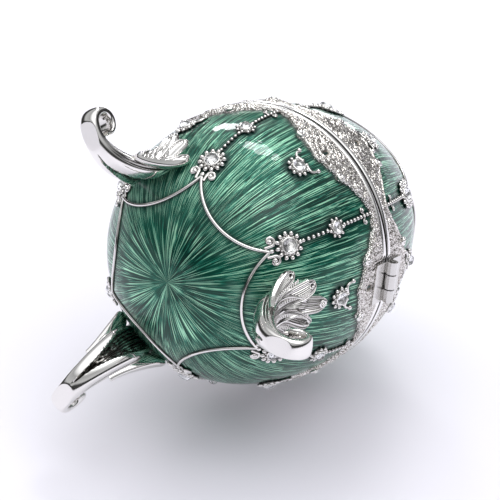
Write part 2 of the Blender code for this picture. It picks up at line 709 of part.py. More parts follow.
hinge_pocket = helper("hinge_pocket", pocket, cutters)
for half, relief in ((bowl, bowl_relief), (lid, lid_relief)):
    boolean(half, "UNION", relief)
    boolean(half, "DIFFERENCE", hinge_pocket)

for made in parts.objects:
    if made.type == "MESH" and not made.name.count("crystal"):
        made.data.shade_smooth()
        made.data.set_sharp_from_angle(angle=math.radians(40.0))
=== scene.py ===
"""A jewelled egg trinket box: an enamelled egg on three scroll legs, set with crystals, its lid hinged at the back."""

import math

import bpy
import numpy as np
from mathutils import Matrix, Vector


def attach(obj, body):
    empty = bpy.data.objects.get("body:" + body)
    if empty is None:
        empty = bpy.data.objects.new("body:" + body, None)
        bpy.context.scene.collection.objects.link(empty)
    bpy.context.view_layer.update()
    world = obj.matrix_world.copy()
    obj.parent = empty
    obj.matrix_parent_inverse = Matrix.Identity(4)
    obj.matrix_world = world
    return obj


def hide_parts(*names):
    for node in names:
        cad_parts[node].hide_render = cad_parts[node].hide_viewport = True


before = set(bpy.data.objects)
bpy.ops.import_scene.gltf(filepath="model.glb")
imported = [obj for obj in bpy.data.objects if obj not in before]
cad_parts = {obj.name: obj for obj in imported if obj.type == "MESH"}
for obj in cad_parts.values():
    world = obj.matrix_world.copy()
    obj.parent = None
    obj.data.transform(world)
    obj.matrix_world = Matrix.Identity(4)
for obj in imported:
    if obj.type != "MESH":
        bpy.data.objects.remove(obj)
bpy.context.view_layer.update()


# The enamelled wall: the egg is cast in two hollow halves, a bowl and a lid. Their outsides carry a skin of clear
# green enamel, fired over fine lines that are engraved in the casting and run out from each pole.

AXIS_Y = -0.004884
POLE_Z = 0.0100
EGG_RADIUS = 0.0325
BOWL_DEPTH = 0.0378
CROWN_HEIGHT = 0.0482
BOWL_POWER, CROWN_POWER = 2.36, 1.86
EGG_HEIGHT = BOWL_DEPTH + CROWN_HEIGHT
SEAM = 0.0418
SEAM_Z = POLE_Z + SEAM
SECTOR = math.tau / 6
CHAINS = math.pi / 3 + SECTOR * np.arange(6)


def wall_radius(height):
    """Outer radius at a height h over the lower pole: R (1 - s^n)^(1/n), where s is the distance from the widest
    ring as a share of the half's own depth, and n is the half's own power."""
    height = np.clip(height, 0.0, EGG_HEIGHT)
    below = height < BOWL_DEPTH
    share = np.where(below, (BOWL_DEPTH - height) / BOWL_DEPTH, (height - BOWL_DEPTH) / CROWN_HEIGHT)
    power = np.where(below, BOWL_POWER, CROWN_POWER)
    return EGG_RADIUS * (1.0 - share**power) ** (1.0 / power)


swing = np.linspace(0.0, math.pi / 2, 6001)
MERIDIAN_H = np.concatenate((BOWL_DEPTH * (1 - np.cos(swing)), BOWL_DEPTH + CROWN_HEIGHT * np.sin(swing[1:])))
MERIDIAN_R = wall_radius(MERIDIAN_H)
MERIDIAN_S = np.concatenate(([0.0], np.cumsum(np.hypot(np.diff(MERIDIAN_R), np.diff(MERIDIAN_H)))))
MERIDIAN_OUT = np.gradient(MERIDIAN_H, MERIDIAN_S)
MERIDIAN_UP = -np.gradient(MERIDIAN_R, MERIDIAN_S)


def slope(height):
    """The outward and the upward part of the wall's normal at a height."""
    return np.interp(height, MERIDIAN_H, MERIDIAN_OUT), np.interp(height, MERIDIAN_H, MERIDIAN_UP)


def run_at(height):
    """The length of the meridian from the lower pole up to a height."""
    return np.interp(height, MERIDIAN_H, MERIDIAN_S)


def height_at(run):
    """The height that a length along the meridian reaches."""
    return np.interp(run, MERIDIAN_S, MERIDIAN_H)


def polar(radius, angle):
    """x and y at a radius and an angle."""
    return radius * np.cos(angle), radius * np.sin(angle)


def on_wall(azimuth, height, lift=0.0):
    """Points on the wall at an azimuth and a height, raised along the wall's own normal."""
    azimuth, height, lift = np.broadcast_arrays(azimuth, height, lift)
    out, up = slope(height)
    radius = np.interp(height, MERIDIAN_H, MERIDIAN_R) + lift * out
    x, y = polar(radius, azimuth)
    return np.stack((x, y + AXIS_Y, height + POLE_Z + lift * up), axis=-1)


def inward(height, depth):
    """(r, height) pairs a given depth inside the wall."""
    out, up = slope(height)
    return np.stack((np.interp(height, MERIDIAN_H, MERIDIAN_R) - depth * out, height - depth * up), axis=-1)


def bell(value, middle, width, power=2):
    """A rounded bump: 1 where a value is at the middle, and 1/e where it is a width away."""
    return np.exp(-(((value - middle) / width) ** power))


def outward(points, quads, fans):
    """A closed skin with its faces turned outwards: the volume that they enclose comes out positive."""
    corners = np.concatenate((quads[:, [0, 1, 2]], quads[:, [0, 2, 3]], fans))
    a, b, c = points[corners[:, 0]], points[corners[:, 1]], points[corners[:, 2]]
    if np.einsum("ij,ij->i", a - points.mean(0), np.cross(b - points.mean(0), c - points.mean(0))).sum() < 0:
        return points, quads[:, ::-1], fans[:, ::-1]
    return points, quads, fans


def skin(grid, first=None, last=None):
    """A closed skin over rings of points: quads from ring to ring, and a fan to one point at each end."""
    rows, columns = grid.shape[:2]
    index = np.arange(rows * columns).reshape(rows, columns)
    beside = np.roll(index, -1, axis=1)
    quads = np.stack((index[:-1], beside[:-1], beside[1:], index[1:]), axis=-1).reshape(-1, 4)
    start = np.full(columns, rows * columns)
    ends = (np.stack((beside[0], index[0], start), -1), np.stack((index[-1], beside[-1], start + 1), -1))
    first = grid[0].mean(0) if first is None else first
    last = grid[-1].mean(0) if last is None else last
    points = np.concatenate((grid.reshape(-1, 3), np.asarray(first)[None], np.asarray(last)[None]))
    return outward(points, quads, np.concatenate(ends))


def new_object(name, data):
    """A new object in the scene, made of a mesh, a light or a camera."""
    made = bpy.data.objects.new(name, data)
    bpy.context.scene.collection.objects.link(made)
    return made


def make_piece(name, whole, finish, body, nodes=(), sharp=40.0):
    """Puts the points and faces into a mesh and hangs the piece on its body; sharp is the angle of its hard edges."""
    points, quads, fans = whole
    mesh = bpy.data.meshes.new(name)
    mesh.vertices.add(len(points))
    mesh.vertices.foreach_set("co", np.ascontiguousarray(points, dtype=np.float32).ravel())
    mesh.loops.add(quads.size + fans.size)
    mesh.loops.foreach_set("vertex_index", np.concatenate((quads.ravel(), fans.ravel())).astype(np.int32))
    sizes = np.concatenate((np.full(len(quads), 4), np.full(len(fans), 3)))
    mesh.polygons.add(len(sizes))
    mesh.polygons.foreach_set("loop_start", (np.cumsum(sizes) - sizes).astype(np.int32))
    mesh.update(calc_edges=True)
    mesh.validate()
    mesh.materials.append(finish)
    mesh.shade_smooth()
    if sharp:
        mesh.set_sharp_from_angle(angle=math.radians(sharp))
    made = new_object(name, mesh)
    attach(made, body)
    if nodes:
        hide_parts(*nodes)
    return made


def keep(piece, name, values):
    """Keeps a number from 0 to 1 on each point of a piece, for its finish to read."""
    kept = piece.data.attributes.new(name, "FLOAT", "POINT")
    kept.data.foreach_set("value", np.asarray(values, dtype=np.float32).ravel())


HINGE_SEAT = 0.032029
POCKET_HALF = 0.0053
POCKET_HEIGHT = 0.0056


def seat_for_hinge(points):
    """Flattens what would stand in the hinge's pocket: y is held at the seat inside the pocket's width and height."""
    inside = (np.abs(points[..., 0]) < POCKET_HALF) & (np.abs(points[..., 2] - SEAM_Z) < POCKET_HEIGHT)
    inside &= points[..., 1] > 0.0
    held = np.minimum(points[..., 1], HINGE_SEAT + AXIS_Y)
    return np.stack((points[..., 0], np.where(inside, held, points[..., 1]), points[..., 2]), axis=-1)


def turned(profile, columns, first, last):
    """A turned skin: a profile of (r, height) pairs carried round the egg's axis, from one end point to another."""
    azimuth = np.linspace(0.0, math.tau, columns, endpoint=False)
    radius, height = profile[:, :1], profile[:, 1:]
    x, y = polar(radius, azimuth)
    grid = np.stack((x, y + AXIS_Y, height + POLE_Z + 0 * azimuth), axis=-1)
    return skin(seat_for_hinge(grid), (0.0, AXIS_Y, first), (0.0, AXIS_Y, last))


ENAMEL = 0.0005
RIM_TOP = SEAM - 0.0002
LID_FOOT = SEAM + 0.0002
RIM_MARGIN = 0.0016
POLE_SWING = 0.012
bowl_rows = BOWL_DEPTH * (1.0 - np.cos(np.linspace(POLE_SWING, math.pi / 2, 104)))
bowl_rows = np.append(bowl_rows, np.linspace(BOWL_DEPTH, RIM_TOP - RIM_MARGIN, 8)[1:])
start = math.asin((LID_FOOT + RIM_MARGIN - BOWL_DEPTH) / CROWN_HEIGHT)
lid_rows = BOWL_DEPTH + CROWN_HEIGHT * np.sin(np.linspace(start, math.pi / 2 - POLE_SWING, 104))

WIRE_JOINT, WIRE_LOW = 0.0090, 0.0042
LID_JOINT, LID_WIRE_HIGH = 0.0632, 0.0722
LOWER_ROSETTE, UPPER_ROSETTE, PENDANT_ROSETTE = 0.0126, 0.0250, 0.0242
LID_ROSETTE, LID_PENDANT = 0.0593, 0.0566
LARGE, PENDANT, SMALL = 0.0033, 0.0027, 0.0024
PENDANT_REACH = 0.0029
BEAD_SIZE = 0.0005
POOL_WIDTH = 0.0009
BAND_NARROW = 0.0036
BAND_LOBE = 0.0112


def band_reach(share):
    """How far a band reaches from the seam at a share of its sector: narrow at the chains, deep in the middle,
    with a scroll's knob swelling out on each side of the middle."""
    lobe = (BAND_LOBE - 0.0006 - BAND_NARROW) * np.sin(math.pi * share) ** 1.5
    knob = 0.0010 * bell(np.abs(share - 0.5), 0.21, 0.035)
    point = 0.0006 * bell(share, 0.5, 0.05)
    leaf = 0.0003 * np.abs(np.sin(9 * math.pi * share)) ** 0.8
    return BAND_NARROW + lobe + knob + point + leaf


def bow_circle(joint, tip):
    """The circle that a wire follows on the wall rolled flat round the pole: the pole's place along the meridian,
    the circle's distance from the pole, its radius, and the distance of the chord from joint to joint."""
    pole = MERIDIAN_S[-1] if tip > BOWL_DEPTH else 0.0
    far, near = np.abs(run_at((joint, tip)) - pole)
    chord_at = far * math.cos(SECTOR / 2)
    centre = (far**2 - near**2) / (2 * (chord_at - near))
    return pole, centre, centre - near, chord_at


def pooling(points):
    """How deep the enamel has pooled: 1 against the wires, chains, rosettes and band, fading over a millimetre."""
    x, y, height = points[:, 0], points[:, 1] - AXIS_Y, points[:, 2] - POLE_Z
    share = ((np.arctan2(y, x) - CHAINS[0]) / SECTOR) % 1.0
    run, sector_width = run_at(height), SECTOR * np.hypot(x, y)
    from_chain = np.minimum(share, 1.0 - share) * sector_width
    from_middle = np.abs(share - 0.5) * sector_width
    gaps = []
    for joint, tip in ((WIRE_JOINT, WIRE_LOW), (LID_JOINT, LID_WIRE_HIGH)):
        pole, centre, radius, chord_at = bow_circle(joint, tip)
        from_pole, turn = np.abs(pole - run), (share - 0.5) * SECTOR
        across, out = from_pole * np.sin(turn), from_pole * np.cos(turn)
        gap = np.abs(np.hypot(across, out - centre) - radius)
        gaps.append(np.where(out < chord_at, gap, 1.0))
    for along, at, size in (
        (from_chain, LOWER_ROSETTE, LARGE),
        (from_chain, UPPER_ROSETTE, SMALL),
        (from_middle, PENDANT_ROSETTE, PENDANT_REACH),
        (from_chain, LID_ROSETTE, LARGE),
        (from_middle, LID_PENDANT, PENDANT_REACH),
    ):
        gaps.append(np.hypot(along, run - run_at(at)) - size)
    on_chain = (height > LOWER_ROSETTE) & (height < LID_ROSETTE)
    gaps.append(np.where(on_chain, from_chain - 0.8 * BEAD_SIZE, 1.0))
    gaps.append(np.abs(run - run_at(SEAM)) - band_reach(share))
    return bell(np.clip(np.min(gaps, axis=0), 0.0, None), 0.0, POOL_WIDTH)


def new_finish(name):
    """A new material, with its tree of nodes and its surface shader."""
    made = bpy.data.materials.new(name)
    made.use_nodes = True
    return made, made.node_tree, made.node_tree.nodes["Principled BSDF"]


def fill(tree, node, inputs):
    """Fills a node's inputs, each given by its name or number: an output of another node is joined, a value set."""
    for key, value in inputs.items():
        if isinstance(value, bpy.types.NodeSocket):
            tree.links.new(value, node.inputs[key])
        else:
            node.inputs[key].default_value = value


def put(tree, kind, inputs=None, output=0, **options):
    """Adds a node of a kind with its options, fills its inputs and gives back one of its outputs."""
    made = tree.nodes.new("ShaderNode" + kind)
    for option, choice in options.items():
        setattr(made, option, choice)
    fill(tree, made, inputs or {})
    return made.outputs[output]


def between(tree, value, low, high, to_low=0.0, to_high=1.0, shape="SMOOTHSTEP"):
    """Carries a value from one range to another and holds it at the ends."""
    inputs = {0: value, 1: low, 2: high, 3: to_low, 4: to_high}
    return put(tree, "MapRange", inputs, interpolation_type=shape)


def blended(tree, share, first, second):
    """Blends two colours, each an output or red, green and blue."""
    first, second = ((*c, 1.0) if isinstance(c, tuple) else c for c in (first, second))
    return put(tree, "Mix", {0: share, 6: first, 7: second}, 2, data_type="RGBA")


DEEP_GREEN, PATCHY_GREEN = (0.001, 0.032, 0.022), (0.002, 0.066, 0.041)
# The rays are the engraving's own pattern; the light crest colours are painted glints, the light that the engraved
# grooves throw back.
CREST_GLINT_GREEN, BRIGHT_GLINT_GREEN = (0.020, 0.240, 0.160), (0.450, 0.840, 0.590)
POOLED_GREEN = (0.002, 0.028, 0.022)


def engraved_enamel(name, pole):
    """Green enamel over engraved rays: three sets of noise stretched along the meridians, the coarse ones near
    the pole and the fine ones further out, light with painted glints in the grooves' crests, and dark where the enamel
    pools."""
    made, tree, shader = new_finish(name)
    inputs = {"Vector": put(tree, "TexCoord", output="Object"), "Location": (0.0, -AXIS_Y, -pole)}
    spot = put(tree, "Mapping", inputs)
    wander = put(tree, "TexNoise", {"Vector": spot, "Scale": 160.0}, "Color")
    split = put(tree, "SeparateXYZ", {0: spot}).node.outputs
    flat = put(tree, "CombineXYZ", {"X": split["X"], "Y": split["Y"]})
    radius = put(tree, "VectorMath", {0: flat}, "Value", operation="LENGTH")
    unit = put(tree, "VectorMath", {0: flat}, operation="NORMALIZE")
    height = put(tree, "Math", {0: split["Z"]}, operation="ABSOLUTE")
    along = put(tree, "Math", {0: radius, 1: height}, operation="ADD")

    def rays(count, stretch, wobble):
        """Noise on a circle of the given size round the axis, so that it runs on where the circle closes."""
        grown = put(tree, "VectorMath", {0: unit, "Scale": count}, operation="SCALE")
        bent = put(tree, "VectorMath", {0: wander, 1: (wobble, wobble, 0.0), 2: grown}, operation="MULTIPLY_ADD")
        rise = put(tree, "CombineXYZ", {"Z": put(tree, "Math", {0: along, 1: stretch}, operation="MULTIPLY")})
        place = put(tree, "VectorMath", {0: bent, 1: rise}, operation="ADD")
        return put(tree, "TexNoise", {"Vector": place, "Scale": 1.0, "Detail": 2.0, "Roughness": 0.6})

    coarse, middle, fine = rays(18.0, 45.0, 0.3), rays(48.0, 46.0, 0.8), rays(150.0, 46.0, 2.0)
    lines = put(tree, "Mix", {0: between(tree, radius, 0.003, 0.006), 2: coarse, 3: middle})
    lines = put(tree, "Mix", {0: between(tree, radius, 0.012, 0.017), 2: lines, 3: fine})
    cloud = put(tree, "TexNoise", {"Vector": spot, "Scale": 75.0, "Detail": 3.0})
    pooled = put(tree, "Attribute", output="Fac", attribute_name="pooled")
    colour = blended(tree, between(tree, cloud, 0.40, 0.66), DEEP_GREEN, PATCHY_GREEN)
    # Painted glints on the crests of the engraved rays, light and then brightest.
    colour = blended(tree, between(tree, lines, 0.485, 0.565), colour, CREST_GLINT_GREEN)
    colour = blended(tree, between(tree, lines, 0.55, 0.625), colour, BRIGHT_GLINT_GREEN)
    clear = put(tree, "Math", {0: 1.0, 1: pooled}, operation="SUBTRACT")
    grooves = put(tree, "Math", {0: lines, 1: clear}, operation="MULTIPLY")
    ripple = put(tree, "TexNoise", {"Vector": spot, "Scale": 140.0})
    inputs = {
        "Base Color": blended(tree, pooled, colour, POOLED_GREEN),
        "Roughness": between(tree, lines, 0.35, 0.70, 0.46, 0.30),
        "Normal": put(tree, "Bump", {"Strength": 0.55, "Distance": 0.00025, "Height": grooves}),
        "Metallic": 0.55,
        "Specular IOR Level": 0.1,
        "Coat Weight": 0.7,
        "Coat Roughness": 0.03,
        "Coat IOR": 1.45,
        "Coat Normal": put(tree, "Bump", {"Strength": 0.8, "Distance": 0.0006, "Height": ripple}),
    }
    fill(tree, shader, inputs)
    return made


for half, rows, pole, depth in (("bowl", bowl_rows, 0.0, ENAMEL), ("lid", lid_rows[::-1], EGG_HEIGHT, -ENAMEL)):
    profile = np.concatenate((inward(rows, 0.0), inward(rows[::4][::-1], ENAMEL)))
    whole = turned(profile, 384, pole + POLE_Z, pole + depth + POLE_Z)
    name = half + "_enamel"
    wall = make_piece(name, whole, engraved_enamel(name, pole + POLE_Z), half, (half,), sharp=0)
    keep(wall, "pooled", pooling(whole[0]))


# The casting inside the enamel: each half is a white-metal casting plated with silver. It shows as the plain
# lining, as the smooth rim at the seam, and as the lip inside the bowl that keeps the lid in place.


def plated(name, colour, low, high, grain=600.0, depth=0.00001, dark=(0.06, 0.055, 0.05), stipple=None):
    """Silver plate: polished metal whose roughness wanders a little, darker with painted shade in the hollows,
    and, where it is stippled, covered with round grains that have painted shade between one another."""
    made, tree, shader = new_finish(name)
    spot = put(tree, "TexCoord", output="Object")
    noise = put(tree, "TexNoise", {"Vector": spot, "Scale": grain, "Detail": 3.0})
    polish = between(tree, noise, 0.3, 0.7, low, high, "LINEAR")
    # The hollow attribute is painted shade: where it is high, the base colour darkens.
    hollow = put(tree, "Attribute", output="Fac", attribute_name="hollow")
    painted_shade_mask, height, strength = hollow, noise, 0.2
    if stipple:
        grains = put(tree, "TexVoronoi", {"Vector": spot, "Scale": stipple}, "Distance")
        gaps = between(tree, grains, 0.40, 0.70, 0.0, 0.8, "LINEAR")
        painted_shade_mask = put(tree, "Math", {0: hollow, 1: gaps}, operation="MAXIMUM")
        height, strength = put(tree, "Math", {0: 1.0, 1: grains}, operation="SUBTRACT"), 0.7
    inputs = {
        # Painted shade: the base colour darkens in the hollows and, when stippled, between the grains.
        "Base Color": blended(tree, painted_shade_mask, colour, dark),
        "Roughness": put(tree, "Math", {0: hollow, 1: 0.25, 2: polish}, operation="MULTIPLY_ADD"),
        "Normal": put(tree, "Bump", {"Strength": strength, "Distance": depth, "Height": height}),
        "Metallic": 1.0,
    }
    fill(tree, shader, inputs)
    return made


lining_silver = plated("lining_silver", (0.97, 0.96, 0.945), 0.14, 0.24, 500.0)

WALL = 0.0020
SEAM_RADIUS = float(wall_radius(SEAM))
SEAM_INSIDE = 0.030335
LIP_OUTSIDE = SEAM_INSIDE - 0.0004
LIP_INSIDE = LIP_OUTSIDE - 0.0008
LIP_LIFT = -0.0021
RIM_PROUD = 0.0006
RIM_HEIGHT = 0.0015
GROOVE_HALF = 0.00042


def lift_over_wall(points):
    """How far points stand over the enamelled wall, and how far they lie above or below the seam."""
    height = points[:, 2] - POLE_Z
    gap = np.hypot(points[:, 0], points[:, 1] - AXIS_Y) - np.interp(height, MERIDIAN_H, MERIDIAN_R)
    return gap * slope(height)[0], height - SEAM


def seam_shade(points, inner=-1.0):
    """Painted shade in the groove between the rims, and at the foot of the lip, which lies deeper than a given lift:
    dark within a third of a millimetre of the seam."""
    lift, above = lift_over_wall(points)
    return ((lift > -0.0006) | (lift < inner)) * np.clip((GROOVE_HALF - np.abs(above)) / 0.00010, 0.0, 1.0)


def rim_roll(edge, side):
    """The rim's rounded outside: half an oval standing proud of the wall, from the seam's edge away from it."""
    turn = np.linspace(0.0, math.pi, 14)
    height = edge + side * RIM_HEIGHT * (1.0 - np.cos(turn)) / 2
    roll = np.stack((SEAM_RADIUS + RIM_PROUD * np.sin(turn) ** 0.6, height), axis=-1)
    mouth = [(SEAM_RADIUS - 0.0009, edge), (SEAM_RADIUS - 0.0005, edge)]
    return np.concatenate((mouth, roll))


LIP = (
    (SEAM_INSIDE, SEAM - 0.0040),
    (LIP_INSIDE, SEAM - 0.0029),
    (LIP_INSIDE, SEAM + 0.0010),
    (LIP_INSIDE + 0.0002, SEAM + 0.0012),
    (LIP_OUTSIDE - 0.0002, SEAM + 0.0012),
    (LIP_OUTSIDE, SEAM + 0.0010),
    (LIP_OUTSIDE, SEAM + 0.0005),
    (LIP_OUTSIDE, SEAM + 0.0003),
    (LIP_OUTSIDE, RIM_TOP),
)
UNDER_ENAMEL = ENAMEL * 0.98
inner_rows = BOWL_DEPTH * (1.0 - np.cos(np.linspace(0.04, math.pi / 2, 40)))
outside = inward(bowl_rows[::-3], UNDER_ENAMEL)
profile = np.concatenate((inward(inner_rows, WALL), LIP, rim_roll(RIM_TOP, -1), outside))
whole = turned(profile, 240, POLE_Z + WALL, POLE_Z + ENAMEL)
casting = make_piece("bowl_casting", whole, lining_silver, "bowl")
# Painted shade in the seam's groove and on the lip behind it.
keep(casting, "hollow", seam_shade(whole[0], LIP_LIFT))

start = math.asin((LID_FOOT - BOWL_DEPTH) / CROWN_HEIGHT)
inner_rows = BOWL_DEPTH + CROWN_HEIGHT * np.sin(np.linspace(math.pi / 2 - 0.04, start, 44))
profile = np.concatenate((inward(inner_rows, WALL), rim_roll(LID_FOOT, 1), inward(lid_rows[::3], UNDER_ENAMEL)))
whole = turned(profile, 240, POLE_Z + EGG_HEIGHT - WALL, POLE_Z + EGG_HEIGHT - ENAMEL)
casting = make_piece("lid_casting", whole, lining_silver, "lid")
# Painted shade in the seam's groove.
keep(casting, "hollow", seam_shade(whole[0]))


# The rocaille bands: a band of shellwork is cast on each half beside the rim. It dips into a lobe in every
# sector, is edged with a rolled rib and scrolls, and is chased all over with scales and grains round a drop.

# Its dark colour is painted shade for the band's low places and the gaps between its grains.
chased_silver = plated(
    "chased_silver", (1.0, 0.975, 0.94), 0.14, 0.26, 2600.0, 0.00020, (0.26, 0.23, 0.20), 2500.0
)


def soft_noise(x, y, seed):
    """Value noise: random heights on a square lattice, blended with a smooth step between the lattice points."""
    lattice = np.random.default_rng(seed).random((64, 64))
    column, row = np.floor(x).astype(int), np.floor(y).astype(int)
    u, v = x - column, y - row
    u, v = u * u * (3 - 2 * u), v * v * (3 - 2 * v)
    a, b = lattice[column % 64, row % 64], lattice[(column + 1) % 64, row % 64]
    c, d = lattice[column % 64, (row + 1) % 64], lattice[(column + 1) % 64, (row + 1) % 64]
    return (a * (1 - u) + b * u) * (1 - v) + (c * (1 - u) + d * u) * v


def scroll_line(centre, size, begin, sweep):
    """A spiral's points: the angle sweeps evenly while the radius closes to a fifth."""
    t = np.linspace(0.0, 1.0, 44)
    radius, angle = size * (1.0 - 0.8 * t), begin + sweep * t
    return np.stack(polar(radius, angle), -1) + centre


SCROLLS = (
    (scroll_line((0.0066, 0.0078), 0.0019, -1.2, 7.6), 0.00030),
    (scroll_line((0.0100, 0.0044), 0.0014, -0.6, 7.0), 0.00026),
    (scroll_line((0.0024, 0.0038), 0.0014, 2.2, -7.0), 0.00026),
    (scroll_line((0.0128, 0.0030), 0.0008, -0.6, 7.0), 0.00022),
)
SHELL_DEPTH, SHELL_STEP = 0.0042, 0.00155
DROP_DEPTH, DROP_HALF, DROP_LONG = 0.0072, 0.0008, 0.0012
EDGE_RISE, INNER_RISE, RIB_RISE, DROP_FALL = 0.00050, 0.00018, 0.00056, 0.00060
SCALE_RISE, GRAIN_RISE = 0.00030, 0.00036


def shellwork(share, depth, reach):
    """The band's relief and its painted shade: a rolled edge, spiral ribs that fall off as bells with the distance to
    the nearest point of their line, rings of scales round the middle, and grains, with painted shade in the low places
    and the drop."""
    x = np.abs(share - 0.5) * SECTOR * EGG_RADIUS
    rolled = bell(reach - depth, 0.00040, 0.00026)
    inner_rib = bell(depth, 0.00215, 0.00022)
    near_seam = np.clip((depth - 0.0020) / 0.0007, 0.0, 1.0)
    angle = np.arctan2(x, depth - SHELL_DEPTH)
    step = np.hypot(x, depth - SHELL_DEPTH) / SHELL_STEP
    scale = (step % 1.0) ** 0.8 * np.abs(np.cos(angle * 5.5 + (np.floor(step) % 2) * math.pi / 2)) ** 0.5
    ribs = np.zeros(share.shape)
    for line, width in SCROLLS:
        nearest = np.full(x.shape, 1.0)
        for px, py in line:
            nearest = np.minimum(nearest, np.hypot(x - px, depth - py))
        ribs = np.maximum(ribs, bell(nearest, 0.0, width))
    drop = bell((x / DROP_HALF) ** 2 + ((depth - DROP_DEPTH) / DROP_LONG) ** 2, 0.0, 1.0)
    dots = soft_noise(x * 3800 + 7, depth * 3800, 3) * 0.6 + soft_noise(x * 7500, depth * 7500, 5) * 0.4
    worked = SCALE_RISE * scale + GRAIN_RISE * (dots - 0.25)
    relief = near_seam * (worked * (1.0 - 0.8 * ribs) + RIB_RISE * ribs) * (1 - 0.8 * rolled)
    relief = relief + EDGE_RISE * rolled + INNER_RISE * inner_rib - DROP_FALL * drop
    # Painted shade: darker in the low places between the relief, and fully in the sunk drop.
    low = np.clip((0.00022 - relief) / 0.00030, 0.0, 1.0) * near_seam * (1.0 - rolled)
    return relief, np.clip(low * 0.5 + drop, 0.0, 1.0)


def looped(grid):
    """A skin over rings of points that closes both along the rings and across them."""
    rows, columns = grid.shape[:2]
    index = np.arange(rows * columns).reshape(rows, columns)
    beside = np.roll(index, -1, axis=1)
    quads = np.stack((index, beside, np.roll(beside, -1, axis=0), np.roll(index, -1, axis=0)), axis=-1)
    return outward(grid.reshape(-1, 3), quads.reshape(-1, 4), np.zeros((0, 3), int))


BAND_COLUMNS, BAND_ROWS = 1020, 50
BAND_BASE, BAND_SUNK = 0.00028, 0.0004
inset = 0.0002 + RIM_HEIGHT * 0.88
azimuth = np.linspace(0.0, math.tau, BAND_COLUMNS, endpoint=False)
share = ((azimuth - CHAINS[0]) / SECTOR) % 1.0
depth = inset + (band_reach(share) - inset) * np.linspace(0.0, 1.0, BAND_ROWS)[:, None]
share, reach = np.broadcast_to(share, depth.shape), np.broadcast_to(band_reach(share), depth.shape)
relief, hollow = shellwork(share, depth, reach)
rounded = 1.0 - np.clip(1.0 - (reach - depth) / 0.0004, 0.0, 1.0) ** 2
for half, side in (("bowl", -1), ("lid", 1)):
    height = SEAM + side * depth
    outer = on_wall(azimuth, height, (BAND_BASE + relief) * rounded)
    under = on_wall(azimuth, height[[-1, 0]], -BAND_SUNK)
    whole = looped(seat_for_hinge(np.concatenate((outer, under))))
    band = make_piece(half + "_band", whole, chased_silver, half, sharp=0)
    # The band's hollow values are painted shade.
    keep(band, "hollow", np.concatenate((hollow, 0 * hollow[:2])))


# The wires, chains, scrolls and rosettes: six bowed wires ring each pole. Where two meet, a pair of scrolls carries
# a beaded rosette, and a chain of beads climbs from it to the band. It is all cast with the half and polished.

polished_silver = plated("polished_silver", (0.88, 0.865, 0.84), 0.06, 0.13)

MIDDLES = CHAINS + SECTOR / 2


def wall_normal(azimuth, height):
    """The wall's outward normal at an azimuth and a height."""
    azimuth, height = np.broadcast_arrays(azimuth, height)
    out, up = slope(height)
    return np.stack((*polar(out, azimuth), up), axis=-1)


def swung(x, y, turn):
    """x and y turned by an angle about the origin."""
    return x * np.cos(turn) - y * np.sin(turn), x * np.sin(turn) + y * np.cos(turn)


def lay_on_wall(points, azimuth, height, turn=0.0):
    """Bends flat work onto the wall: x is measured round the egg, y up the meridian, and z outwards."""
    x, y = swung(points[..., 0], points[..., 1], turn)
    there = height_at(run_at(height) + y)
    return on_wall(azimuth + x / wall_radius(there), there, points[..., 2])


def together(skins):
    """Several skins as one list of points, quads and fans."""
    starts = np.cumsum([0] + [len(s[0]) for s in skins])
    points = np.concatenate([s[0] for s in skins])
    quads = np.concatenate([s[1] + n for s, n in zip(skins, starts)])
    fans = np.concatenate([s[2] + n for s, n in zip(skins, starts)])
    return points, quads, fans


def spread(one, places):
    """Copies of one skin at a whole array of places, given as points shaped (places, points of one, 3)."""
    count, size = places.shape[:2]
    shift = (np.arange(count) * size)[:, None, None]
    return places.reshape(-1, 3), (one[1] + shift).reshape(-1, 4), (one[2] + shift).reshape(-1, 3)


def rod_along(path, normal, radius, sides=10):
    """A round rod carried along a path: rings of points turn from the path's side to its normal and back."""
    along = np.gradient(path, axis=0)
    along /= np.linalg.norm(along, axis=1, keepdims=True)
    beside = np.cross(normal, along)
    beside /= np.linalg.norm(beside, axis=1, keepdims=True)
    above = np.cross(along, beside)
    turn = np.linspace(0.0, math.tau, sides, endpoint=False)[None, :, None]
    radius = np.broadcast_to(radius, len(path))[:, None, None]
    return skin(path[:, None] + radius * (np.cos(turn) * beside[:, None] + np.sin(turn) * above[:, None]))


def flat_rod(path, radius, sides=8):
    """A rod along a path in the flat (x, y, z) coordinates that lay_on_wall bends."""
    return rod_along(path, np.broadcast_to((0.0, 0.0, 1.0), path.shape), radius, sides)


def ball(width=1.0, length=1.0, height=1.0, sides=10):
    """A ball of radius 1, stretched in x, y and z: four rings between two poles."""
    tilt = np.linspace(-math.pi / 2, math.pi / 2, 6)[1:-1, None]
    turn = np.linspace(0.0, math.tau, sides, endpoint=False)
    shape = np.stack((*polar(np.cos(tilt), turn), np.sin(tilt) + 0 * turn), -1)
    points, quads, fans = skin(shape, (0.0, 0.0, -1.0), (0.0, 0.0, 1.0))
    return points * (width, length, height), quads, fans


def ring(radius, thickness, count=28, sides=8):
    """A round ring lying flat: a small circle carried round a large one, closed on itself."""
    turn = np.linspace(0.0, math.tau, count, endpoint=False)[:, None]
    tilt = np.linspace(0.0, math.tau, sides, endpoint=False)[None]
    out = radius + thickness * np.cos(tilt)
    return looped(np.stack((*polar(out, turn), thickness * np.sin(tilt) + 0 * turn), -1))


def rings(radius, rows, count):
    """Rings of points round z: each row has its share of the radius, one for all points or one each, and its height."""
    turn = np.linspace(0.0, math.tau, count, endpoint=False)
    x, y = polar(radius, turn)
    return np.stack([np.stack((share * x, share * y, z + 0 * turn), -1) for share, z in rows])


def moved(one, x=0.0, y=0.0, z=0.0, size=1.0, turn=0.0):
    """A skin made larger, turned about z and moved."""
    points = one[0] * size
    swung_x, swung_y = swung(points[:, 0], points[:, 1], turn)
    return np.stack((swung_x + x, swung_y + y, points[:, 2] + z), -1), one[1], one[2]


def mirrored(one):
    """A skin mirrored in x, its faces turned back outwards."""
    return one[0] * (-1.0, 1.0, 1.0), one[1][:, ::-1], one[2][:, ::-1]


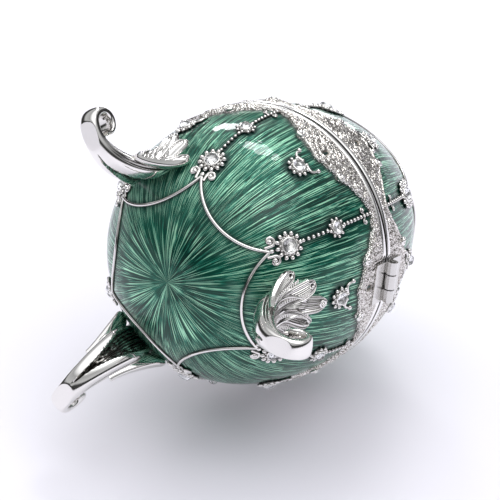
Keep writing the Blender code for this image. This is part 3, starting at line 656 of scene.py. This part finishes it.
def rosette(radius, stone, beads, lift):
    """A flower of beads: a low dish, a ring of round petals with seeds between them, and a collar round the stone."""
    dish = skin(rings(radius, ((0.76, -0.0004), (0.76, 0.0002), (0.688, 0.00040), (0.40, 0.00046)), 24))
    made = [dish, moved(ring(stone + 0.00012, 0.00024), z=lift)]
    size = radius * 0.165
    petal, seed = ball(size, size * 1.15, size), ball(radius * 0.085, radius * 0.085, radius * 0.1, 7)
    for angle in math.tau * np.arange(beads) / beads:
        made.append(moved(petal, *polar(radius * 0.84, angle), 0.00045, turn=angle - math.pi / 2))
        made.append(moved(seed, *polar(radius * 0.64, angle + math.pi / beads), 0.00058))
    return together(made)


def volute(size, thick, begin, sweep, stem=None):
    """A little scroll: a tapering rod that closes in a spiral round a ball, with a stem leading into it."""
    t = np.linspace(0.0, 1.0, 26)
    reach, angle = size * (1.0 - 0.62 * t), begin + sweep * t
    path = np.stack((*polar(reach, angle), 0.0003 + 0.0002 * t), -1)
    if stem is not None:
        share = np.linspace(0.0, 1.0, 8, endpoint=False)[:, None]
        path = np.concatenate((np.asarray(stem) * (1 - share) + path[0] * share, path))
    rod = flat_rod(path, thick * (1.0 - 0.25 * np.linspace(0, 1, len(path))))
    return together([rod, moved(ball(), path[-1, 0] * 0.4, path[-1, 1] * 0.4, 0.00045, thick * 1.5)])


def pair(one, *others):
    """A skin, its mirrored double, and what stands between them."""
    return together([one, mirrored(one), *others])


STONE_SHARE = 0.48
LARGE_ROSETTE = rosette(LARGE, LARGE * STONE_SHARE, 12, 0.00085)
SMALL_ROSETTE = rosette(SMALL, SMALL * STONE_SHARE, 9, 0.00080)
pendant_flower = rosette(PENDANT, PENDANT * STONE_SHARE, 10, 0.00085)
t = np.linspace(0.0, 1.0, 22)
bow = np.sin(math.pi * t)
path = np.stack((0.0010 + 0.0022 * t + 0.0005 * bow, 0.0022 + 0.0016 * t - 0.0009 * bow, 0.0003 + 0 * t), -1)
horn = together([flat_rod(path, 0.00042 - 0.00012 * t), moved(ball(), 0.0033, 0.0039, 0.00035, 0.00060)])
PENDANT_FLOWER = together([pendant_flower, horn, mirrored(horn)])
scroll = moved(volute(0.00115, 0.00042, math.pi * 0.9, -5.6, (-0.0012, -0.0016, 0.00025)), 0.0023, 0.0006)
JOINT_SCROLLS = pair(scroll, moved(ball(1.0, 1.3, 0.9), 0.0, 0.0003, 0.0002, 0.0006))
scroll = moved(volute(0.00062, 0.00026, math.pi * 0.9, -5.0, (-0.0009, -0.0004, 0.0002)), 0.0014, 0.0)
SMALL_SCROLLS = pair(scroll)
BEAD = ball()
WIRE_RADIUS, WIRE_LIFT = 0.00038, 0.00014


def wire(first, joint, tip):
    """A bowed wire over one sector: an arc of its circle, from joint to joint, rolled back onto the wall."""
    pole, centre, radius, chord_at = bow_circle(joint, tip)
    turn = np.linspace(-1.0, 1.0, 72) * math.acos((centre - chord_at) / radius)
    across, out = radius * np.sin(turn), centre - radius * np.cos(turn)
    height = height_at(np.abs(pole - np.hypot(across, out)))
    azimuth = first + SECTOR / 2 + np.arctan2(across, out)
    return rod_along(on_wall(azimuth, height, WIRE_LIFT), wall_normal(azimuth, height), WIRE_RADIUS, 16)


def laid(one, azimuths, height, turn=0.0):
    """A flat skin laid on the wall at each azimuth, at one height."""
    return spread(one, lay_on_wall(one[0][None], np.asarray(azimuths)[:, None], height, turn))


def chain(low, high, pitch):
    """Beads up each chain's meridian from one height to another, evenly spaced along the wall."""
    start, end = run_at((low, high))
    count = max(2, int(round((end - start) / pitch)))
    stops = height_at(start + (np.arange(count) + 0.5) * (end - start) / count)
    azimuth, height = (a.ravel()[:, None] for a in np.meshgrid(CHAINS, stops))
    bead = moved(BEAD, z=BEAD_SIZE * 0.45, size=BEAD_SIZE)
    return spread(bead, lay_on_wall(bead[0][None], azimuth, height))


WIRE_SHADE, WORK_SHADE, SHADE_FADE = 0.00044, 0.00062, 0.0004


def foot_shade(work):
    """Painted shade round the foot of the work: dark near the wall, up to a lift that is lower on the six wires."""
    tops = [np.full(len(one[0]), WIRE_SHADE if i < 6 else WORK_SHADE) for i, one in enumerate(work)]
    return np.clip((np.concatenate(tops) - lift_over_wall(together(work)[0])[0]) / SHADE_FADE, 0.0, 1.0)


BOWL_SCROLLS, LID_SCROLLS = 0.0350, 0.0486
LOWER_CHAIN, UPPER_CHAIN_FOOT, LID_CHAIN_TOP = (0.0152, 0.0230), 0.0270, 0.0572
INTO_BAND = 0.0002
KNOB_SHARE, KNOB_LIFT = 0.29, 0.0004
KNOB_DEPTH = float(band_reach(np.array(KNOB_SHARE))) - 0.0009
knob = moved(volute(0.00105, 0.00042, math.pi * 0.5, -6.2), z=KNOB_LIFT)
first, second = CHAINS + SECTOR * KNOB_SHARE, CHAINS + SECTOR * (1 - KNOB_SHARE)
bowl_work = [
    laid(knob, first, SEAM - KNOB_DEPTH),
    laid(mirrored(knob), second, SEAM - KNOB_DEPTH),
    laid(JOINT_SCROLLS, CHAINS, WIRE_JOINT),
    laid(LARGE_ROSETTE, CHAINS, LOWER_ROSETTE),
    laid(SMALL_ROSETTE, CHAINS, UPPER_ROSETTE),
    laid(PENDANT_FLOWER, MIDDLES, PENDANT_ROSETTE),
    laid(SMALL_SCROLLS, CHAINS, BOWL_SCROLLS, math.pi),
    chain(*LOWER_CHAIN, 0.00132),
    chain(UPPER_CHAIN_FOOT, SEAM - BAND_NARROW + INTO_BAND, 0.00125),
]
lid_work = [
    laid(mirrored(knob), first, SEAM + KNOB_DEPTH, math.pi),
    laid(knob, second, SEAM + KNOB_DEPTH, math.pi),
    laid(JOINT_SCROLLS, CHAINS, LID_JOINT, math.pi),
    laid(LARGE_ROSETTE, CHAINS, LID_ROSETTE),
    laid(PENDANT_FLOWER, MIDDLES, LID_PENDANT, math.pi),
    laid(SMALL_SCROLLS, CHAINS, LID_SCROLLS),
    chain(SEAM + BAND_NARROW - INTO_BAND, LID_CHAIN_TOP, 0.0012),
]
for half, joint, tip, work in (
    ("bowl", WIRE_JOINT, WIRE_LOW, bowl_work),
    ("lid", LID_JOINT, LID_WIRE_HIGH, lid_work),
):
    work = [wire(azimuth, joint, tip) for azimuth in CHAINS] + work
    name = half + "_silverwork"
    silverwork = make_piece(name, together(work), polished_silver, half, sharp=60)
    # Painted shade round the feet of the wires and the laid work.
    keep(silverwork, "hollow", foot_shade(work))


# The crystals: thirty round clear stones, cut as brilliants, are glued into the collars of the rosettes, eighteen
# on the bowl and twelve on the lid. They are clear lead glass, a bare refracting surface with nothing on it.

glass, tree, shader = new_finish("crystal_glass")
clear_glass = {"Base Color": (0.97, 0.98, 0.99, 1.0), "Roughness": 0.02, "IOR": 1.58, "Transmission Weight": 1.0}
fill(tree, shader, clear_glass)


def brilliant(radius, low, girdle, top):
    """A brilliant: rings of sixteen points for the table, the crown's break and the girdle, and a point below."""
    even = np.arange(16) % 2 == 0
    rows = (
        (0.98, girdle - 0.00006),
        (1.0, girdle + 0.00004),
        (np.where(even, 0.86, 0.80), girdle + 0.62 * (top - girdle)),
        (np.where(even, 0.56, 0.56 * math.cos(math.pi / 8)), top),
    )
    return skin(rings(radius, rows, 16), (0.0, 0.0, low))


for half, kind, radius, azimuths, height in (
    ("bowl", "large", LARGE, CHAINS, LOWER_ROSETTE),
    ("bowl", "small", SMALL, CHAINS, UPPER_ROSETTE),
    ("bowl", "pendant", PENDANT, MIDDLES, PENDANT_ROSETTE),
    ("lid", "large", LARGE, CHAINS, LID_ROSETTE),
    ("lid", "pendant", PENDANT, MIDDLES, LID_PENDANT),
):
    points, quads, fans = brilliant(radius * STONE_SHARE, 0.00050, 0.00100, 0.00178)
    for number, azimuth in enumerate(azimuths, 1):
        name = f"{half}_crystal_{kind}_{number}"
        placed = (lay_on_wall(points, azimuth, height), quads, fans)
        stone = make_piece("set_" + name, placed, glass, half, (name,), sharp=0)
        stone.data.shade_flat()


# The legs: three cast scroll legs are soldered under the egg. Each starts as an acanthus leaf of three lobes lying
# on the wall, sweeps out as a fluted shank with a hollow back, and rolls into a volute that stands on the ground.

LEAF_TIP, LEG_ROOT, LEG_LIFT = 0.0200, 0.0120, 0.0006
VOLUTE_RADIUS, FOOT_THICKNESS, FOOT_WIDTH = 0.0031, 0.0032, 0.0046
VOLUTE_Z = VOLUTE_RADIUS + FOOT_THICKNESS / 2 - 0.0005
VOLUTE_R = 0.038825
LEAVE_PULL, ARRIVE_PULL = 0.0060, 0.0090
PEARL_SIZE, PEARL_LIFT = 0.00034, 0.0009
LOBE_EYE, EYE_RIM, EYE_BACK = 0.00042, 0.00068, 0.0013
TIP_EYE_HEIGHT, TIP_EYE_LIFT = LEAF_TIP - 0.0015, 0.0014
STATIONS = (0.0, 0.3, 0.7, 1.1, 1.35, 1.75, 1.9, 2.1, 3.0)
WIDTH_SHARES = (0.5, 1.0, 1.1, 1.9, 2.1, 1.3, 1.1, 1.0, 1.15)
FRONT_SHARES = (0.2, 0.5, 0.5, 0.5, 0.5, 0.45, 0.42, 0.4, 0.15)
BACK_SHARES = (0.4, 0.5, 0.5, 0.7, 1.15, 0.95, 0.65, 0.45, 0.2)


def shank_point(t):
    """The shank's middle line (r, z): a Bezier curve that leaves along the wall and lands level at the foot."""
    out, up = slope(LEG_ROOT)
    root = np.array((np.interp(LEG_ROOT, MERIDIAN_H, MERIDIAN_R), LEG_ROOT + POLE_Z))
    start = root + LEG_LIFT * np.array((out, up))
    leave = start + LEAVE_PULL * np.array((up, -out))
    foot = np.array((VOLUTE_R, VOLUTE_Z - VOLUTE_RADIUS))
    arrive = foot - (ARRIVE_PULL, 0.0)
    t = t[..., None]
    return (1 - t) ** 3 * start + 3 * t * (1 - t) ** 2 * leave + 3 * t * t * (1 - t) * arrive + t**3 * foot


def leg_spine(leaf_rows, shank_rows, volute_rows):
    """The leg's middle line (r, z) and stations: up the wall to the root, down the shank, then a closing spiral."""
    share = np.linspace(0.0, 1.0, leaf_rows, endpoint=False)
    height = LEAF_TIP + (LEG_ROOT - LEAF_TIP) * share
    out, up = slope(height)
    leaf = np.stack((wall_radius(height) + LEG_LIFT * out, height + POLE_Z + LEG_LIFT * up), -1)
    down = np.linspace(0.0, 1.0, shank_rows, endpoint=False)
    t = np.linspace(0.0, 1.0, volute_rows)
    turn = -math.pi / 2 + 1.64 * math.pi * t
    reach = VOLUTE_RADIUS * (1.0 - 0.34 * t**1.5)
    roll = np.stack(polar(reach, turn), -1) + (VOLUTE_R, VOLUTE_Z)
    return np.concatenate((leaf, shank_point(down), roll)), np.concatenate((share, 1.0 + down, 2.0 + t))


SPINE, SPINE_STATIONS = leg_spine(46, 100, 90)


def smoothed(values, width=9):
    """Values evened out along the leg by a running mean, taken twice."""
    kernel = np.ones(width) / width
    for _ in range(2):
        values = np.convolve(np.pad(values, width // 2, mode="edge"), kernel, mode="valid")
    return values


def ease(value, low, high):
    """A smooth step from 0 to 1 between two values."""
    t = np.clip((value - low) / (high - low), 0.0, 1.0)
    return t * t * (3 - 2 * t)


def front_of(points):
    """The direction square to a line of (r, z) points, towards the leg's front."""
    along = np.gradient(points, axis=0)
    along /= np.linalg.norm(along, axis=1, keepdims=True)
    return np.stack((-along[:, 1], along[:, 0]), axis=1)


def run_of(path):
    """The length of a path up to each of its points."""
    return np.concatenate(([0.0], np.cumsum(np.linalg.norm(np.diff(path, axis=0), axis=1))))


def shank():
    """The leaf's middle lobe, the shank and the volute in one skin: across the front run three ribs between two
    flutes, each scored with fine lines, and across the back a hollow that narrows to a point towards the foot."""
    points = np.stack([smoothed(column, 5) for column in SPINE.T], -1)
    front, station = front_of(points), SPINE_STATIONS[:, None]
    half, rise, fall = (
        smoothed(np.interp(SPINE_STATIONS, STATIONS, shares))[:, None] * size
        for shares, size in (
            (WIDTH_SHARES, FOOT_WIDTH / 2),
            (FRONT_SHARES, FOOT_THICKNESS),
            (BACK_SHARES, FOOT_THICKNESS),
        )
    )
    half = half * (0.25 + 0.75 * np.sqrt(1.0 - (1.0 - np.clip(station / 0.28, 0.0, 1.0)) ** 2))
    u = np.sin(np.linspace(-math.pi / 2, math.pi / 2, 61))[None]
    edge = (1.0 - u**2) ** 0.3
    groove = bell(np.abs(u), 0.80, 0.05)
    ribs = edge * (0.64 + 0.34 * np.cos(3 * math.pi * u) + 0.05 * np.cos(9 * math.pi * u) - 0.35 * groove)
    dished = (1.0 - u**8) * (0.45 + 0.5 * np.abs(u) ** 2.2 + 0.06 * np.cos(11 * math.pi * u))
    on_leaf, on_foot = ease(station, 1.05, 0.6), ease(station, 1.80, 2.10)
    top = (ribs * (1 - on_leaf) + dished * on_leaf) * (1 - on_foot) + 0.95 * edge * on_foot
    turn = np.linspace(math.pi / 2, -math.pi / 2, 2001)
    v, deep = np.sin(turn), np.cos(turn) ** 0.5
    run = run_of(np.stack((v, deep), -1))
    even = np.linspace(0.0, run[-1], 73)[1:-1]
    v, deep = np.interp(even, run, v)[None], np.interp(even, run, deep)[None]
    width = 0.84 - 0.74 * ease(station, 1.10, 1.80)
    inside = np.clip(1.0 - (np.abs(v) / width) ** 3, 0.0, 1.0)
    hollow = ease(station, 0.96, 1.10) * (1.0 - ease(station, 1.66, 1.84))
    strands = 0.10 * np.cos(10 * math.pi * v / width) * inside
    back = -deep * (1.0 - (0.72 + strands) * hollow * inside)
    flutes = bell(deep, 0.16, 0.05) + bell(deep, 0.36, 0.05)
    fluted = ease(station, 1.0, 1.15) * (1.0 - ease(station, 1.55, 1.85))
    side = v * (1.0 - 0.09 * fluted * flutes * (np.abs(v) > 0.7))
    across = np.concatenate((u + 0 * station, side), axis=1) * half
    depth = np.concatenate((top * rise, back * fall), axis=1)
    y = points[:, :1] + front[:, :1] * depth + AXIS_Y
    z = points[:, 1:] + front[:, 1:] * depth
    return skin(np.stack((across, y, np.maximum(z, 0.0)), axis=-1))


def beside_leg(side, ends, spreads, t):
    """A line that follows the leg's middle line between two stations, turned more and more about the egg's axis,
    with the outward direction at each of its points."""
    station = ends[0] + (ends[1] - ends[0]) * t
    turn = side * (spreads[0] + (spreads[1] - spreads[0]) * t**1.3)
    columns = (*SPINE.T, *front_of(SPINE).T)
    r, z, out, up = (np.interp(station, SPINE_STATIONS, column) for column in columns)
    centre = np.stack((-r * np.sin(turn), r * np.cos(turn) + AXIS_Y, z), -1)
    return centre, np.stack((-out * np.sin(turn), out * np.cos(turn), up), -1)


def lobe(side, ends, spreads, width, thick):
    """A side lobe: a dished blade with rolled edges, fine lines along it and an eye near its round tip. It springs
    from the shank and turns away from it."""
    t = np.linspace(0.0, 1.0, 72)
    centre, normal = beside_leg(side, ends, spreads, t)
    run, t = run_of(centre)[:, None], t[:, None]
    across = np.cross(np.gradient(centre, axis=0), normal)
    across /= np.linalg.norm(across, axis=1, keepdims=True)
    left = np.clip((run[-1] - run) / (0.45 * width), 0.0, 1.0)
    swell = (0.70 + 0.30 * np.sin(math.pi * np.minimum(t, 0.95) ** 1.3)) * np.sqrt(1.0 - (1.0 - left) ** 2)
    u = np.sin(np.linspace(-math.pi / 2, math.pi / 2, 31))[None]
    dish = (1.0 - u**10) * (0.34 + 0.50 * np.abs(u) ** 2.4 + 0.09 * np.cos(9 * math.pi * u))
    from_eye = np.hypot(u * width / 2, run - run[-1] + EYE_BACK)
    eye = 0.00020 * bell(from_eye, EYE_RIM, 0.00022) - 0.0007 * bell(from_eye, 0.0, LOBE_EYE, 3)
    top = dish * swell * thick * 0.55 + eye
    v = np.sin(np.linspace(math.pi / 2, -math.pi / 2, 13))[None, 1:-1]
    under = -((1.0 - v**2) ** 0.4) * thick * 0.42 * swell
    x = np.concatenate((u + 0 * t, v + 0 * t), axis=1) * width / 2 * swell
    z = np.concatenate((top, under), axis=1) + thick / 4 * (1.0 - t)
    return skin(centre[:, None] + x[..., None] * across[:, None] + z[..., None] * normal[:, None])


def pearls(side, ends, spreads, count):
    """A row of small pearls, each smaller than the last, lying in the groove beside a lobe."""
    centre, normal = beside_leg(side, ends, spreads, np.linspace(0.0, 1.0, count))
    grown = BEAD[0][None] * (PEARL_SIZE * np.linspace(1.0, 0.7, count))[:, None, None]
    return spread(BEAD, (centre + PEARL_LIFT * normal)[:, None] + grown)


def leg(number):
    """One leg at its own azimuth: the back one turned about the egg's axis by a third of a turn for each."""
    made = [shank()]
    degree = math.pi / 180
    for side in (-1, 1):
        made.append(lobe(side, (1.50, 0.40), (3.5 * degree, 10.4 * degree), 0.0046, 0.0028))
        made.append(lobe(side, (1.58, 0.98), (6.5 * degree, 17.5 * degree), 0.0040, 0.0028))
        for lane in (0.0, 0.8):
            made.append(pearls(side, (1.30, 0.62), ((3.2 + lane) * degree, (5.2 + lane) * degree), 17))
            made.append(pearls(side, (1.42, 0.92), ((7.4 + lane) * degree, (12.2 + lane) * degree), 15))
    for eye in (ring(0.00072, 0.00027, 20, 8), moved(BEAD, size=LOBE_EYE)):
        made.append(laid(moved(eye, z=TIP_EYE_LIFT), [math.pi / 2], TIP_EYE_HEIGHT))
    points, quads, fans = together(made)
    x, y = swung(points[:, 0], points[:, 1] - AXIS_Y, math.tau * number / 3)
    return np.stack((x, y + AXIS_Y, points[:, 2]), -1), quads, fans


def cavities(piece, depth):
    """How hollow a piece is at each point, from 0 to 1: how far the mean of the points next to it stands over it,
    along its normal, evened out twice and measured against a full depth."""
    mesh = piece.data
    ends = np.empty(2 * len(mesh.edges), np.int32)
    places, normals = np.empty(3 * len(mesh.vertices)), np.empty(3 * len(mesh.vertices))
    mesh.edges.foreach_get("vertices", ends)
    mesh.vertices.foreach_get("co", places)
    mesh.vertices.foreach_get("normal", normals)
    places, normals, ends = places.reshape(-1, 3), normals.reshape(-1, 3), ends.reshape(-1, 2)
    here, there = np.concatenate((ends, ends[:, ::-1])).T
    count = np.maximum(np.bincount(here, minlength=len(places)), 1)

    def beside(values):
        """The mean of a value over the points next to each point."""
        return np.bincount(here, weights=values[there], minlength=len(places)) / count

    mean = np.stack([beside(column) for column in places.T], axis=-1)
    hollow = np.einsum("ij,ij->i", mean - places, normals)
    for _ in range(2):
        hollow = (hollow + beside(hollow)) / 2
    return np.clip(hollow / depth, 0.0, 1.0)


for number, name in enumerate(("leg_back", "leg_left", "leg_right")):
    scroll = make_piece(name + "_scroll", leg(number), polished_silver, "bowl", (name,), sharp=60)
    # Painted shade in the legs' hollows, from how hollow each point is.
    keep(scroll, "hollow", cavities(scroll, 0.000012))


# The hinge: two small plates with knuckles are soldered into a seat across the seam, and a pin runs through them.
# They are plain bent metal, so the part's own solids show, in a duller silver plate.

hinge_silver = plated("hinge_silver", (0.70, 0.69, 0.67), 0.16, 0.26)
for name in ("hinge_leaf_bowl", "hinge_leaf_lid", "hinge_pin"):
    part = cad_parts[name]
    part.data.materials.clear()
    part.data.materials.append(hinge_silver)


# The photograph's stage: the egg lies on its side on a pale table, so in this frame the table is a steep plane
# beside the box. A level floor serves the upright views. Each is seen from its upper side alone.


def pale_board(name, colour):
    """Matt pale board, clear from behind: the light passes where the back of the face is seen."""
    made, tree, shader = new_finish(name)
    fill(tree, shader, {"Base Color": (*colour, 1.0), "Roughness": 0.6})
    behind = put(tree, "NewGeometry", output="Backfacing")
    inputs = {0: behind, 1: shader.outputs["BSDF"], 2: put(tree, "BsdfTransparent")}
    fill(tree, tree.nodes["Material Output"], {"Surface": put(tree, "MixShader", inputs)})
    return made


def board(name, centre, up, half, finish):
    """A square board of four corners round a centre, facing up."""
    side = np.cross(up, (0.0, 1.0, 0.0))
    side /= np.linalg.norm(side)
    other = np.cross(up, side)
    corners = [centre + half * (a * side + b * other) for a, b in ((-1, -1), (1, -1), (1, 1), (-1, 1))]
    mesh = bpy.data.meshes.new(name)
    mesh.from_pydata([tuple(c) for c in corners], [], [(0, 1, 2, 3)])
    mesh.materials.append(finish)
    if mesh.polygons[0].normal.dot(up.tolist()) < 0:
        mesh.flip_normals()
    made = new_object(name, mesh)
    return made


TABLE_UP = np.array((0.984, -0.02, -0.18))
TABLE_UP /= np.linalg.norm(TABLE_UP)
solids = [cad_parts[name].data.vertices for name in ("bowl", "lid", "leg_left")]
lowest = min((np.array([v.co for v in vertices]) @ TABLE_UP).min() for vertices in solids)
centre = TABLE_UP * (lowest - 0.0004) + (0.0, 0.0, 0.04)
board("table", centre, TABLE_UP, 0.9, pale_board("pale_table", (0.755, 0.738, 0.80)))
floor = board("floor", np.zeros(3), np.array((0.0, 0.0, 1.0)), 2.5, pale_board("pale_floor", (0.86, 0.85, 0.88)))
floor.visible_shadow = floor.visible_diffuse = floor.visible_glossy = floor.visible_transmission = False


def softbox(name, place, aim, size, power):
    """A soft elliptical light at a place, turned towards a point; size gives its two widths."""
    light = bpy.data.lights.new(name, "AREA")
    light.shape = "ELLIPSE"
    light.size, light.size_y = size
    light.energy = power
    made = new_object(name, light)
    made.location = place
    made.rotation_mode = "QUATERNION"
    made.rotation_quaternion = (Vector(place) - Vector(aim)).to_track_quat("Z", "Y")
    return made


MIDDLE = (0.0, 0.0, 0.048)
softbox("overhead", (0.45, -0.32, 0.21), MIDDLE, (1.50, 1.50), 3.3).visible_glossy = False
softbox("window", (0.427, -0.095, 0.220), (0.030, 0.002, 0.031), (0.20, 0.08), 0.42)
softbox("second_window", (0.265, -0.291, 0.295), (0.031, -0.009, 0.033), (0.12, 0.06), 0.22)
softbox("upright", (-0.05, -0.25, 0.50), MIDDLE, (0.30, 0.30), 1.2)
softbox("fill", (0.22, 0.45, -0.20), MIDDLE, (0.50, 0.50), 0.9).visible_glossy = False

world = bpy.data.worlds.new("tent")
world.use_nodes = True
tree = world.node_tree
ray = put(tree, "TexCoord", output="Generated")
facing = put(tree, "VectorMath", {0: ray, 1: tuple(TABLE_UP)}, "Value", operation="DOT_PRODUCT")
facing = put(tree, "Math", {0: facing, 1: 0.5, 2: 0.5}, operation="MULTIPLY_ADD")
sky = put(tree, "ValToRGB", {"Fac": facing}, "Color")
tones = ((0.0, 0.45), (0.45, 0.45), (0.52, 0.03), (0.62, 0.05), (0.68, 0.58), (0.82, 0.40), (0.92, 1.22))
stops = sky.node.color_ramp.elements
for stop, tone in tones[1:-1]:
    stops.new(stop)
for element, (stop, tone) in zip(stops, tones):
    element.position = stop
    element.color = (tone * 0.97, tone * 0.98, tone, 1.0)
glow = put(tree, "VectorMath", {0: ray, 1: (0.83, 0.543, -0.123)}, "Value", operation="DOT_PRODUCT")
brighter = put(tree, "Math", {0: between(tree, glow, 0.84, 1.0, 0.0, 1.2), 1: 1.0}, operation="ADD")
fill(tree, tree.nodes["Background"], {"Color": sky, "Strength": brighter})
bpy.context.scene.world = world
bpy.context.scene.view_settings.view_transform = "Standard"

camera = bpy.data.cameras.new("camera")
camera.lens = 221.76
camera.sensor_width = 36.0
camera.clip_start, camera.clip_end = 0.01, 10.0
seen = new_object("camera", camera)
right, down, ahead = (0.11995, 0.81944, 0.56047), (-0.91918, 0.30498, -0.24919), (-0.37513, -0.48528, 0.78980)
place = (0.271576, 0.347938, -0.530526)
rows = [(r, -d, -a, at) for r, d, a, at in zip(right, down, ahead, place)]
seen.matrix_world = Matrix((*rows, (0.0, 0.0, 0.0, 1.0)))
bpy.context.scene.camera = seen
